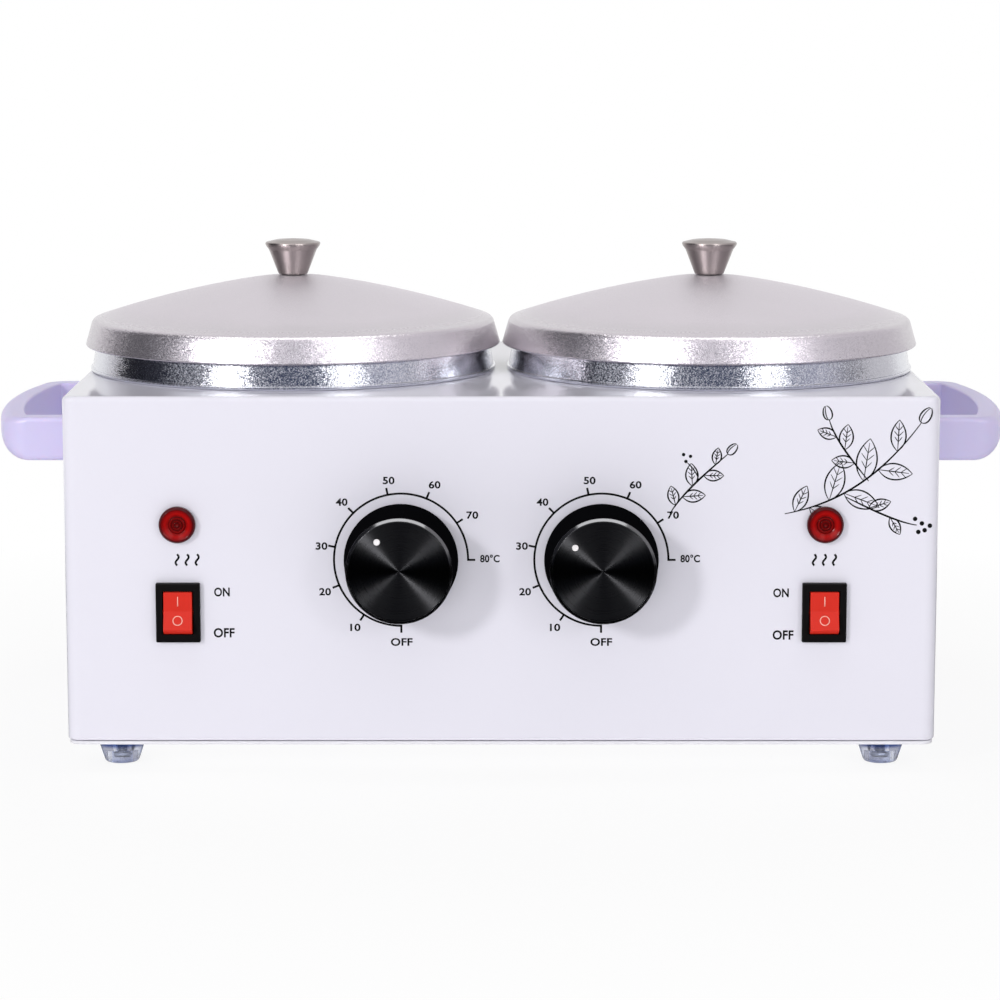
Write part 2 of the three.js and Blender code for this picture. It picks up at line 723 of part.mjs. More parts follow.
// Modelled with Z out of the panel, whose face is at height zero.
function thermostatBody() {
  const back = -SHEET - SEAT;
  const body = prism(shapeOf(roundedOutline(STAT_W, STAT_H, STAT_ROUND)), STAT_D);
  body.translate(0, 0, back - STAT_D);
  const earSpan = STAT_SCREW_PITCH + STAT_EAR_W;
  const ears = prism(shapeOf(roundedOutline(earSpan, STAT_EAR_W, STAT_ROUND)), STAT_EAR_T);
  ears.translate(0, 0, back - STAT_EAR_T);
  const bush = rod(BUSH_R, back - STAT_EAR_T, BUSH_REACH, SMALL_SIDES);
  const blades = [-1, 1].map((row) =>
    block(STAT_TERMINAL_W, STAT_TERMINAL_T, STAT_TERMINAL_L + STAT_EAR_T).translate(
      0,
      (row * STAT_TERMINAL_PITCH) / 2,
      back - STAT_D - STAT_TERMINAL_L / 2,
    ),
  );
  const boreFrom = back - SPINDLE_IN_BODY - SEAT;
  const bore = rod(SPINDLE_R + SPINDLE_GAP, boreFrom, BUSH_REACH + OVERRUN, SMALL_SIDES);
  const screwHoles = [-1, 1].map((end) =>
    rod(SCREW_R + SCREW_CLEARANCE, back - STAT_EAR_T - OVERRUN, back + OVERRUN, SCREW_SIDES).translate(
      (end * STAT_SCREW_PITCH) / 2,
      0,
      0,
    ),
  );
  return cut(join(body, ears, bush, ...blades), bore, ...screwHoles);
}

function spindle() {
  const bottom = -SHEET - SEAT - SPINDLE_IN_BODY;
  return prism(spindleShape(SPINDLE_R), SPINDLE_OUT - bottom).translate(0, 0, bottom);
}

// The route starts at the thermostat's back and ends along the bulb, in shares of the way between them.
function sensor() {
  const startY = FRONT_Y + SHEET + SEAT + STAT_D + SEAT;
  const startZ = DIAL_Z - TOP_Z - CAPILLARY_DROP;
  const bulbX = WELL_X - BULB_L / 2;
  const routeShares = [
    [0, 0, 0],
    [0, 1, 0.05],
    [0.15, 1, 0.7],
    [0.45, 0.5, 1],
    [0.8, 0, 1],
    [1, 0, 1],
  ];
  const reach = bulbX + BULB_R - DIAL_X;
  const route = routeShares.map(([x, slack, z]) => {
    const y = startY + x * (BULB_Y - startY) + slack * CAPILLARY_SLACK;
    return new THREE.Vector3(DIAL_X + x * reach, y, startZ + z * (-BULB_DROP - startZ));
  });
  const section = shapeOf(
    arc(0, 0, CAPILLARY_R, 0, 4 * QUARTER - (4 * QUARTER) / CAPILLARY_SIDES, CAPILLARY_SIDES - 1),
  );
  const capillary = new THREE.ExtrudeGeometry(section, {
    steps: CAPILLARY_STEPS,
    extrudePath: new THREE.CatmullRomCurve3(route),
  });
  const bulb = rod(BULB_R, 0, BULB_L, SCREW_SIDES).rotateY(QUARTER).translate(bulbX, BULB_Y, -BULB_DROP);
  return join(bulb, capillary);
}

// Modelled with Z out of the panel and its back at height zero, pointer at three o'clock.
function dialKnob() {
  const body = revolve(
    [
      [0, KNOB_RECESS_DEPTH],
      [KNOB_RECESS_R, KNOB_RECESS_DEPTH],
      [KNOB_RECESS_R, 0],
      [KNOB_BASE_R, 0],
      [KNOB_FACE_R, KNOB_L - KNOB_CHAMFER],
      [KNOB_FACE_R - KNOB_CHAMFER, KNOB_L],
      [0, KNOB_L],
    ],
    KNOB_SIDES,
  );
  const bore = prism(spindleShape(SPINDLE_R + SPINDLE_GAP), KNOB_L - KNOB_BORE_END + OVERRUN);
  const dot = rod(DOT_R, KNOB_L - DOT_DEPTH, KNOB_L + OVERRUN, SCREW_SIDES).translate(DOT_AT_R, 0, 0);
  return cut(body, bore.translate(0, 0, -OVERRUN), dot);
}

function lampLens() {
  const grooveIn = LENS_GROOVE_R - LENS_GROOVE_W;
  const face = SEAT + LENS_H;
  const ring = SEAT + LENS_RIM_H + LENS_EDGE;
  return revolve(
    [
      [0, SEAT],
      [LENS_R, SEAT],
      [LENS_R, SEAT + LENS_RIM_H],
      [LENS_R - LENS_EDGE, ring],
      [LENS_GROOVE_R, ring],
      [(LENS_GROOVE_R + grooveIn) / 2, ring - LENS_GROOVE_DEPTH],
      [grooveIn, ring],
      [grooveIn / 2, ring + (face - ring) * DOME_HALF_SHARE],
      [0, face],
    ],
    SMALL_SIDES,
  );
}

function lampBody() {
  const back = -SHEET - SEAT;
  return revolve(
    [
      [0, back - LAMP_BODY_L],
      [LAMP_TIP_R, back - LAMP_BODY_L],
      [LAMP_TIP_R, back - LAMP_BODY_L / 2],
      [LAMP_BODY_R, back - LAMP_BODY_L / 2],
      [LAMP_BODY_R, back - LAMP_NUT_H],
      [LAMP_NUT_R, back - LAMP_NUT_H],
      [LAMP_NUT_R, back],
      [LAMP_BODY_R, back],
      [LAMP_BODY_R, 0],
      [0, 0],
    ],
    LAMP_SIDES,
  );
}

// Modelled with Z out of the panel. The pocket's ends are one arc about the pivot.
function switchBody() {
  const face = SEAT + BEZEL_T;
  const pivotZ = face - PIVOT_DEPTH;
  const outline = shapeOf(roundedOutline(BEZEL_W, BEZEL_H, BEZEL_ROUND));
  const bezel = prism(outline, BEZEL_T).translate(0, 0, SEAT);
  const neck = block(NECK_W, NECK_H, NECK_D + BEZEL_T).translate(0, 0, SEAT + (BEZEL_T - NECK_D) / 2);
  const blades = [-1, 1].map((row) =>
    block(BLADE_W, BLADE_T, BLADE_L + BEZEL_T).translate(
      0,
      (row * BLADE_PITCH) / 2,
      SEAT - NECK_D - BLADE_L / 2 + BEZEL_T / 2,
    ),
  );
  const pocket = rod(WINDOW_ARC_R, -WINDOW_W / 2, WINDOW_W / 2, SMALL_SIDES).rotateY(QUARTER);
  const mouthD = PIVOT_DEPTH + OVERRUN;
  const mouth = block(WINDOW_W, WINDOW_H, mouthD).translate(0, 0, mouthD / 2);
  const axle = rod(TRUNNION_R + TRUNNION_GAP, -NECK_W, NECK_W, SCREW_SIDES).rotateY(QUARTER);
  const cutters = [pocket, mouth, axle].map((cutter) => cutter.translate(0, 0, pivotZ));
  return cut(join(bezel, neck, ...blades), ...cutters);
}

// Modelled about its pivot, upright, with Z out of the panel: two flats that meet in a shallow valley,
// and ends that are arcs about the pivot.
function rocker() {
  const tilt = THREE.MathUtils.degToRad(ROCKER_TILT);
  const valley = (PIVOT_DEPTH + ROCKER_PROUD) / Math.cos(tilt);
  const tip = Math.asin((valley * Math.cos(tilt)) / ROCKER_R) + tilt;
  const tail = -Math.asin(ROCKER_TAIL / ROCKER_R);
  const end = arc(0, 0, ROCKER_R, tail, tip, CORNER_STEPS + 1);
  const otherEnd = end.map(([y, z]) => [-y, z]).toReversed();
  const outline = [...end, [0, valley], ...otherEnd];
  const width = WINDOW_W - 2 * ROCKER_GAP;
  const body = prism(shapeOf(outline), width).translate(0, 0, -width / 2).rotateX(QUARTER).rotateZ(QUARTER);
  const axle = rod(TRUNNION_R, -WINDOW_W / 2 - TRUNNION_L, WINDOW_W / 2 + TRUNNION_L, SCREW_SIDES);
  return join(body, axle.rotateY(QUARTER));
}

// Handles

function armY() {
  return (HANDLE_L - HANDLE_W) / 2;
}

function armZ() {
  return dropTo(HANDLE_DROP + HANDLE_H / 2);
}

// The section stands on a centre line in plan: arm, turn, bowed bar, turn, arm. On an arc the point at
// heading h lies at the centre plus the radius times (sin h, -cos h), which is also the outward side.
function handle() {
  const barX = SIDE_X + HANDLE_REACH - HANDLE_W / 2;
  const bow = Math.asin((armY() - HANDLE_TURN_R) / (HANDLE_BOW_R - HANDLE_TURN_R));
  const turnX = barX - HANDLE_BOW_R + (HANDLE_BOW_R - HANDLE_TURN_R) * Math.cos(bow);
  const armX = SIDE_X + SEAT;
  const turnY = armY() - HANDLE_TURN_R;
  // Each sweep leaves out its first station, which is the last one of the stretch before it.
  const sweep = (x, y, radius, from, to, steps) =>
    Array.from({ length: steps }, (_, i) => {
      return { x, y, radius, heading: from + ((to - from) * (i + 1)) / steps };
    });
  const stations = [
    { x: armX, y: -turnY, radius: HANDLE_TURN_R, heading: 0 },
    { x: turnX, y: -turnY, radius: HANDLE_TURN_R, heading: 0 },
    ...sweep(turnX, -turnY, HANDLE_TURN_R, 0, QUARTER - bow, HANDLE_TURN_STEPS),
    ...sweep(barX - HANDLE_BOW_R, 0, HANDLE_BOW_R, QUARTER - bow, QUARTER + bow, HANDLE_BOW_STEPS),
    ...sweep(turnX, turnY, HANDLE_TURN_R, QUARTER + bow, 2 * QUARTER, HANDLE_TURN_STEPS),
    { x: armX, y: turnY, radius: HANDLE_TURN_R, heading: 2 * QUARTER },
  ];
  const corners = [
    [-HANDLE_W / 2 + HANDLE_INNER_ROUND, HANDLE_INNER_ROUND, HANDLE_INNER_ROUND, 2],
    [HANDLE_W / 2 - HANDLE_OUTER_ROUND, HANDLE_OUTER_ROUND, HANDLE_OUTER_ROUND, 3],
    [HANDLE_W / 2 - HANDLE_OUTER_TOP_ROUND, HANDLE_H - HANDLE_OUTER_TOP_ROUND, HANDLE_OUTER_TOP_ROUND, 0],
    [-HANDLE_W / 2 + HANDLE_INNER_TOP_ROUND, HANDLE_H - HANDLE_INNER_TOP_ROUND, HANDLE_INNER_TOP_ROUND, 1],
  ];
  const section = corners
    .flatMap(([n, z, radius, turn]) => {
      return arc(n, z, radius, turn * QUARTER, (turn + 1) * QUARTER, CORNER_STEPS);
    })
    .toReversed();
  const rings = stations.map(({ x, y, radius, heading }) =>
    section.map(([n, z]) => {
      const out = radius + n;
      return new THREE.Vector3(x + out * Math.sin(heading), y - out * Math.cos(heading), z);
    }),
  );
  const loop = loft(rings).translate(0, 0, dropTo(HANDLE_DROP + HANDLE_H));
  const holes = [-1, 1].map((end) =>
    rod(SCREW_R + SCREW_CLEARANCE, -OVERRUN, HANDLE_SCREW_L + SEAT, SCREW_SIDES)
      .rotateY(QUARTER)
      .translate(SIDE_X, end * armY(), armZ()),
  );
  return cut(loop, ...holes);
}

// Cord entry, modelled with Z out of the back wall, whose face is at height zero
function cordGland() {
  const back = -SHEET - SEAT;
  return revolveRing(
    [
      [GLAND_BORE_R, back - GLAND_NUT_H - GLAND_TAIL],
      [GLAND_R, back - GLAND_NUT_H - GLAND_TAIL],
      [GLAND_R, back - GLAND_NUT_H],
      [GLAND_NUT_R, back - GLAND_NUT_H],
      [GLAND_NUT_R, back],
      [GLAND_R, back],
      [GLAND_R, SEAT],
      [GLAND_FLANGE_R, SEAT],
      [GLAND_FLANGE_R, GLAND_FLANGE_T],
      [GLAND_R, GLAND_FLANGE_T],
      [GLAND_TIP_R, GLAND_REACH],
      [GLAND_BORE_R, GLAND_REACH],
    ],
    SMALL_SIDES,
  );
}

function terminalBlock() {
  const base = block(BLOCK_W, BLOCK_D, BLOCK_H).translate(0, 0, BLOCK_H / 2);
  const tower = block(BLOCK_W, BLOCK_TOWER_D, BLOCK_TOWER_H + BLOCK_H).translate(
    0,
    0,
    (BLOCK_TOWER_H + BLOCK_H) / 2,
  );
  const cutters = [];
  for (let i = 0; i < BLOCK_POLES; i++) {
    const x = ((i - (BLOCK_POLES - 1) / 2) * BLOCK_W) / BLOCK_POLES;
    const wire = rod(BLOCK_WIRE_R, -BLOCK_D, BLOCK_D, SCREW_SIDES)
      .rotateX(QUARTER)
      .translate(x, 0, BLOCK_H / 2);
    const top = BLOCK_TOWER_H + BLOCK_H;
    cutters.push(wire, rod(BLOCK_SCREW_R, BLOCK_H / 2, top + OVERRUN, SCREW_SIDES).translate(x, 0, 0));
  }
  return cut(join(base, tower), ...cutters);
}

// Assembly

function add(parent, name, geometry, material, x = 0, y = 0, z = 0) {
  const mesh = new THREE.Mesh(geometry, material);
  mesh.name = name;
  mesh.position.set(x, y, z);
  parent.add(mesh);
  return mesh;
}

function group(parent, x, y, z) {
  const made = new THREE.Group();
  made.position.set(x, y, z);
  parent.add(made);
  return made;
}

const warmer = new THREE.Group();
const unit = group(warmer, 0, CENTRE_Y, 0);
const F = FINISHES;

add(unit, "housing_shell", housingShell(), F.enamel);
add(unit, "base_plate", basePlate(), F.plate);
add(unit, "cord_gland", toBack(cordGland()), F.black, 0, BACK_Y, GLAND_Z);
const blockZ = PLATE_Z + PLATE_T + SEAT;
add(unit, "terminal_block", terminalBlock(), F.phenolic, 0, BACK_Y - BLOCK_FROM_BACK, blockZ);

for (const [sideName, side] of Object.entries(SIDES)) {
  const loop = handle();
  add(unit, `handle_${sideName}`, side > 0 ? loop : loop.rotateZ(2 * QUARTER), F.lavender);
  for (const [endName, end] of [
    ["front", -1],
    ["rear", 1],
  ]) {
    const corner = `${endName}_${sideName}`;
    const under = group(unit, side * FOOT_X, end * footY(), 0);
    add(under, `foot_${corner}`, foot(), F.foot);
    const headZ = FOOT_BORE_DEPTH - SEAT;
    const footScrew = screw(PLATE_Z + PLATE_T + FOOT_SCREW_END - headZ);
    add(under, `foot_screw_${corner}`, footScrew, F.steel, 0, 0, headZ);
    const plateScrew = screw(PLATE_T + 2 * SEAT + SHEET + PLATE_SCREW_END);
    const plateScrewAt = [side * plateScrewX(), end * PLATE_SCREW_Y, PLATE_Z - SEAT];
    add(unit, `plate_screw_${corner}`, plateScrew, F.steel, ...plateScrewAt);
    const handleScrew = toSide(screw(HANDLE_SCREW_L + SHEET + SEAT), side);
    const handleScrewX = side * (SIDE_X - SHEET - SEAT);
    add(unit, `handle_screw_${corner}`, handleScrew, F.steel, handleScrewX, end * armY(), armZ());
  }

  const heat = group(unit, side * WELL_X, 0, TOP_Z);
  add(heat, `heating_well_${sideName}`, heatingWell(), F.spun);
  add(heat, `heater_band_${sideName}`, heaterBand(), F.mica, 0, 0, -BAND_DROP - BAND_H);
  add(unit, `well_stand_${sideName}`, wellStand(), F.steel, side * WELL_X, 0, PLATE_Z + PLATE_T + SEAT);
  add(heat, `inner_pot_${sideName}`, innerPot(), F.spun);
  add(heat, `lid_${sideName}`, lidShell(), F.frosted);
  add(heat, `lid_knob_${sideName}`, lidKnob(), F.turned, 0, 0, lidTop(0) + SEAT);
  const lidScrewZ = lidTop(SCREW_HEAD_R) - LID_WALL - SEAT;
  const lidScrew = screw(lidTop(0) + SEAT - lidScrewZ + LID_SCREW_REACH);
  add(heat, `lid_screw_${sideName}`, lidScrew, F.steel, 0, 0, lidScrewZ);

  const dial = group(unit, side * DIAL_X, FRONT_Y, DIAL_Z);
  add(dial, `thermostat_${sideName}`, toFront(thermostatBody()), F.phenolic);
  const pointer = THREE.MathUtils.degToRad(DIAL_ANGLES[sideName]);
  add(dial, `spindle_${sideName}`, toFront(spindle().rotateZ(pointer)), F.steel);
  add(dial, `dial_knob_${sideName}`, toFront(dialKnob().rotateZ(pointer)), F.anodised, 0, -KNOB_GAP, 0);
  for (const end of Object.values(SIDES)) {
    const name = `thermostat_screw_${sideName}_${end < 0 ? "a" : "b"}`;
    const statScrew = toFront(screw(SHEET + SEAT + SEAT + STAT_EAR_T).rotateX(2 * QUARTER));
    add(dial, name, statScrew, F.steel, (end * STAT_SCREW_PITCH) / 2, -SEAT, 0);
  }
  const probe = sensor();
  add(unit, `sensor_${sideName}`, side > 0 ? probe : mirrored(probe), F.copper, 0, 0, TOP_Z);

  const lamp = group(unit, side * LAMP_X, FRONT_Y, LAMP_Z);
  add(lamp, `lamp_lens_${sideName}`, toFront(lampLens()), F.lens);
  add(lamp, `lamp_holder_${sideName}`, toFront(lampBody()), F.black);

  const rockerY = -(SEAT + BEZEL_T - PIVOT_DEPTH);
  const control = group(unit, side * SWITCH_X, FRONT_Y, SWITCH_Z);
  add(control, `switch_body_${sideName}`, toFront(switchBody()), F.black);
  const paddle = add(control, `rocker_${sideName}`, toFront(rocker()), F.red, 0, rockerY, 0);
  paddle.rotation.x = -THREE.MathUtils.degToRad(ROCKER_TILT);
}

// The same piece on the other side: reflected in X, with each triangle turned round again.
function mirrored(geometry) {
  const turned = geometry.clone().scale(-1, 1, 1);
  const p = turned.getAttribute("position");
  for (let i = 0; i < p.count; i += 3) {
    const [x, y, z] = [p.getX(i), p.getY(i), p.getZ(i)];
    p.setXYZ(i, p.getX(i + 1), p.getY(i + 1), p.getZ(i + 1));
    p.setXYZ(i + 1, x, y, z);
  }
  turned.computeVertexNormals();
  return turned;
}

export default warmer;
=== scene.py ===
"""Looks of a double wax warmer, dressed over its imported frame.

Every length of the object is in millimetres and becomes metres where a mesh or a texture
scale is made. The studio's lengths are in metres. Local shapes have Z along their own axis
and are then placed.
"""

import json
import logging
import math
from collections.abc import Sequence
from dataclasses import dataclass
from enum import Enum
from functools import cache

import bmesh
import bpy
import numpy as np
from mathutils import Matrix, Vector

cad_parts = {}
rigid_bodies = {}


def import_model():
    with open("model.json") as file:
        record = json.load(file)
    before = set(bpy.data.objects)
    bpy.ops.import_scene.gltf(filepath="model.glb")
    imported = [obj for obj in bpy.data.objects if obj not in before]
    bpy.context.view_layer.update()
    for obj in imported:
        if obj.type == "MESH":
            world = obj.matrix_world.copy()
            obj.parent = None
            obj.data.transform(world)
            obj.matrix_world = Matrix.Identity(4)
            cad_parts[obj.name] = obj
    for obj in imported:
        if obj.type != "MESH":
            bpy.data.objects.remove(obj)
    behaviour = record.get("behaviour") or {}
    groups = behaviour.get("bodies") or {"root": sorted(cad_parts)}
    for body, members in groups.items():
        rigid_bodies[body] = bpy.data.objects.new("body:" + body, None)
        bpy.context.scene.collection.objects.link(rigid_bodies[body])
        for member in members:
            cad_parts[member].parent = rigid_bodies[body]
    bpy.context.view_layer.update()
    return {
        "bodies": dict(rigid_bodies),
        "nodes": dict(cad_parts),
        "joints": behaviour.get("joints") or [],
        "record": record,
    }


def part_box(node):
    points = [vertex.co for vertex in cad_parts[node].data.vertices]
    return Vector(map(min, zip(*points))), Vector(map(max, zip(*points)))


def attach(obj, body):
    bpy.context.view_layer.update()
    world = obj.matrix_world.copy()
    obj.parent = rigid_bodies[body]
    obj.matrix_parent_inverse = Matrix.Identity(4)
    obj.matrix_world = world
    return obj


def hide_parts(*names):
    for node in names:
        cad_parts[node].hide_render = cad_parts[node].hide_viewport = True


MM = 0.001
LOG = logging.getLogger("warmer")

SEAT = 0.3  # gap between two pieces that rest on each other
CLOSE = 0.05  # gap between two pieces that lie against each other where it shows
OVERRUN = 2.0  # how far a cutter runs past what it cuts
BIG_ROUND = 144  # facets of wells, pots and lids
ROUND = 72  # facets of knobs, lenses and feet
SMALL_ROUND = 32  # facets of screws and small bores
ARC_STEPS = 7  # facets of one rounded corner
SUPPORT = 0.3  # strip that keeps a flat face flat beside a round
SHARP = math.radians(32)
TURN = 2 * math.pi
SPIN_UV = "spin"
HOUSING = "housing"
ENDS = ("front", "rear")


class Side(Enum):
    """The two halves of the warmer, each with the sign of its X."""

    LEFT = -1
    RIGHT = 1

    @property
    def tag(self) -> str:
        """The side's word in the names of nodes."""
        return self.name.lower()


class Facing(Enum):
    """Where a local X, Y and Z axis point in the object's frame."""

    UP = ((1, 0, 0), (0, 1, 0), (0, 0, 1))
    FRONT = ((1, 0, 0), (0, 0, 1), (0, -1, 0))
    BACK = ((1, 0, 0), (0, 0, -1), (0, 1, 0))
    LEFT = ((0, 0, 1), (0, 1, 0), (-1, 0, 0))
    RIGHT = ((0, 0, -1), (0, 1, 0), (1, 0, 0))
    HALF_TURNED = ((-1, 0, 0), (0, -1, 0), (0, 0, 1))


# Shapes


@dataclass(frozen=True)
class Shape:
    """Bare geometry in millimetres.

    Attributes:
        points: Vertices, one row each.
        corners: Vertex number of every face corner, face after face.
        counts: Number of corners of each face.
        spin: A place in the texture plane for every face corner. On a turned shape it is the
            share of a whole turn and the length along the profile.
    """

    points: np.ndarray
    corners: np.ndarray
    counts: np.ndarray
    spin: np.ndarray

    @classmethod
    def of(cls, mesh: bpy.types.Mesh) -> "Shape":
        """Reads a Blender mesh back.

        Args:
            mesh: A mesh in metres.

        Returns:
            The same geometry in millimetres.
        """
        points = np.empty(len(mesh.vertices) * 3)
        corners = np.empty(len(mesh.loops), dtype=np.int64)
        counts = np.empty(len(mesh.polygons), dtype=np.int64)
        spin = np.zeros(len(mesh.loops) * 2)
        mesh.vertices.foreach_get("co", points)
        mesh.loops.foreach_get("vertex_index", corners)
        mesh.polygons.foreach_get("loop_total", counts)
        if SPIN_UV in mesh.uv_layers:
            mesh.uv_layers[SPIN_UV].data.foreach_get("uv", spin)
        return cls(points.reshape(-1, 3) / MM, corners, counts, spin.reshape(-1, 2))

    def placed(self, facing: Facing = Facing.UP, at: Sequence[float] = (0, 0, 0)) -> "Shape":
        """Turns the shape to face a way, then moves its local origin to a place."""
        return self.over(self.points @ np.array(facing.value, dtype=float) + np.array(at, dtype=float))

    def over(self, points: np.ndarray) -> "Shape":
        """The same faces over other points."""
        return Shape(points, self.corners, self.counts, self.spin)

    def mesh(self, name: str) -> bpy.types.Mesh:
        """Makes a welded mesh whose faces point outwards.

        Args:
            name: Name of the mesh.

        Returns:
            The mesh, in metres.
        """
        mesh = bpy.data.meshes.new(name)
        faces = np.split(self.corners, np.cumsum(self.counts)[:-1])
        mesh.from_pydata((self.points * MM).tolist(), [], [face.tolist() for face in faces])
        mesh.uv_layers.new(name=SPIN_UV).data.foreach_set("uv", self.spin.ravel())
        work = bmesh.new()
        work.from_mesh(mesh)
        bmesh.ops.remove_doubles(work, verts=work.verts, dist=1e-4 * MM)
        bmesh.ops.recalc_face_normals(work, faces=work.faces)
        work.to_mesh(mesh)
        work.free()
        return mesh


def merged(*shapes: Shape) -> Shape:
    """Puts shapes side by side in one.

    Args:
        *shapes: Shapes that don't overlap.

    Returns:
        One shape with all of their faces.
    """
    starts = np.cumsum([0] + [len(shape.points) for shape in shapes[:-1]])
    return Shape(
        np.concatenate([shape.points for shape in shapes]),
        np.concatenate([shape.corners + start for shape, start in zip(shapes, starts)]),
        np.concatenate([shape.counts for shape in shapes]),
        np.concatenate([shape.spin for shape in shapes]),
    )


def carved(shape: Shape, *cutters: Shape) -> Shape:
    """Takes cutters away from a closed shape, one after the other.

    Args:
        shape: What is cut.
        *cutters: Closed shapes. Bodies inside one cutter don't overlap.

    Returns:
        What is left.
    """
    scene = bpy.context.scene.collection
    target = bpy.data.objects.new("carving", shape.mesh("carving"))
    scene.objects.link(target)
    tools = []
    for cutter in cutters:
        tool = bpy.data.objects.new("cutter", cutter.mesh("cutter"))
        scene.objects.link(tool)
        step = target.modifiers.new("cut", "BOOLEAN")
        step.operation, step.solver, step.object = "DIFFERENCE", "EXACT", tool
        tools.append(tool)
    graph = bpy.context.evaluated_depsgraph_get()
    result = bpy.data.meshes.new_from_object(target.evaluated_get(graph))
    left = Shape.of(result)
    bpy.data.meshes.remove(result)
    for used in (target, *tools):
        mesh = used.data
        bpy.data.objects.remove(used)
        bpy.data.meshes.remove(mesh)
    return left


def arc(x: float, y: float, radius: float, start: float, end: float, steps: int) -> np.ndarray:
    """Points of an arc about a centre, from one angle to another in degrees, in so many steps."""
    angles = np.radians(np.linspace(start, end, steps + 1))
    return np.stack([x + radius * np.cos(angles), y + radius * np.sin(angles)], axis=1)


def direction(angle: float) -> np.ndarray:
    """The direction at an angle in degrees, counted up from the first axis."""
    return np.array([math.cos(math.radians(angle)), math.sin(math.radians(angle))])


def rounded(corners: Sequence[tuple[float, ...]], closed: bool = False, steps: int = ARC_STEPS) -> np.ndarray:
    """Rounds the corners of a polygon, with a support point on each straight beside a round.

    Args:
        corners: Each a place and the radius of its round, where zero leaves it sharp.
        closed: Whether the last corner joins the first. Not used.
        steps: Facets of each round.

    Returns:
        Points of the outline. Their number depends only on which radii are zero.
    """
    places = np.array([corner[:2] for corner in corners], dtype=float)
    outline = []
    for i, corner in enumerate(corners):
        here = places[i]
        if corner[2] <= 0:
            outline.append(here[None])
            continue
        spans = [places[i - 1] - here, places[(i + 1) % len(places)] - here]
        lengths = [np.linalg.norm(span) for span in spans]
        ways = [span / length for span, length in zip(spans, lengths)]
        half = math.acos(np.clip(ways[0] @ ways[1], -1, 1)) / 2
        cut = min(corner[2] / math.tan(half), 0.48 * lengths[0], 0.48 * lengths[1])
        radius = cut * math.tan(half)
        centre = here + (ways[0] + ways[1]) / np.linalg.norm(ways[0] + ways[1]) * radius / math.sin(half)
        bend = math.pi - 2 * half
        share = np.linspace(0, 1, steps + 1)[:, None]
        first, last = (here + way * cut - centre for way in ways)
        curve = centre + (np.sin((1 - share) * bend) * first + np.sin(share * bend) * last) / math.sin(bend)
        spare = [min(SUPPORT, 0.4 * (length / 2 - cut)) for length in lengths]
        before, after = (here + way * (cut + more) for way, more in zip(ways, spare))
        outline += [before[None], curve, after[None]]
    return np.concatenate(outline)


def box_outline(width: float, height: float, radius: float) -> np.ndarray:
    """Outline of a rectangle with round corners about the origin, always in as many points."""
    x, y = width / 2, height / 2
    return rounded([(x, -y, radius), (x, y, radius), (-x, y, radius), (-x, -y, radius)], closed=True)


def level(outline: np.ndarray, z: float) -> np.ndarray:
    """Lifts an outline to a height."""
    return np.column_stack([outline, np.full(len(outline), z)])


def loft(rings: np.ndarray, caps: bool = True, ring: bool = False) -> Shape:
    """Joins closed rings of points into a skin.

    Args:
        rings: An array of rings by points by coordinates.
        caps: Whether the first and last ring are filled.
        ring: Whether the last ring joins the first.

    Returns:
        The shape. Its texture plane is the share round a ring and the length across the rings.
    """
    count, around = rings.shape[:2]
    index = np.arange(count * around).reshape(count, around)
    if ring:
        index = np.concatenate([index, index[:1]])
    index = np.concatenate([index, index[:, :1]], axis=1)
    quads = np.stack([index[:-1, :-1], index[:-1, 1:], index[1:, 1:], index[1:, :-1]], axis=-1)
    lead = np.concatenate([rings[:, 0], rings[:1, 0]]) if ring else rings[:, 0]
    length = np.concatenate([[0], np.cumsum(np.linalg.norm(np.diff(lead, axis=0), axis=1))])
    v, u = np.meshgrid(length, np.linspace(0, 1, around + 1), indexing="ij")
    plane = np.stack([u, v], axis=-1)
    spin = np.stack([plane[:-1, :-1], plane[:-1, 1:], plane[1:, 1:], plane[1:, :-1]], axis=2)
    corners, uv = [quads.reshape(-1)], [spin.reshape(-1, 2)]
    counts = [np.full(quads.shape[0] * quads.shape[1], 4)]
    if caps and not ring:
        corners += [index[0, :-1][::-1], index[-1, :-1]]
        counts.append(np.full(2, around))
        uv.append(np.zeros((2 * around, 2)))
    return Shape(rings.reshape(-1, 3), np.concatenate(corners), np.concatenate(counts), np.concatenate(uv))


def turned(profile: np.ndarray, sides: int, ring: bool = False, flats: int = 0, flat: float = 0.0) -> Shape:
    """Turns a profile about Z, as on a lathe, and presses flats on it that follow a rectified sine.

    Args:
        profile: Radius and height of each point. An open profile starts and ends on the axis.
        sides: Number of facets round.
        ring: Whether the profile is a closed loop off the axis.
        flats: Number of flats round.
        flat: Depth of a flat at the widest place, scaled down towards the axis.

    Returns:
        The turned shape.
    """
    angle = np.arange(sides) / sides * TURN
    radius, height = profile[:, 0][:, None], profile[:, 1][:, None]
    shrink = 1 - flat / profile[:, 0].max() * np.abs(np.sin(flats * angle / 2))
    across = [radius * np.cos(angle) * shrink, radius * np.sin(angle) * shrink]
    return loft(np.stack([*across, height + 0 * angle], axis=-1), caps=False, ring=ring)


def prism(outline: np.ndarray, bottom: float, top: float) -> Shape:
    """Stands a closed outline up along Z, from its lower to its upper end."""
    return loft(np.stack([level(outline, bottom), level(outline, top)]))


def rod(radius: float, bottom: float, top: float, sides: int = SMALL_ROUND) -> Shape:
    """A closed cylinder along Z, above all as the cutter of a round hole."""
    return prism(arc(0, 0, radius, 0, 360 - 360 / sides, sides - 1), bottom, top)


def block(width: float, depth: float, bottom: float, top: float) -> Shape:
    """A closed box about the Z axis: its size along X and Y, its lower and its upper end."""
    x, y = width / 2, depth / 2
    return prism(np.array([(x, -y), (x, y), (-x, y), (-x, -y)]), bottom, top)


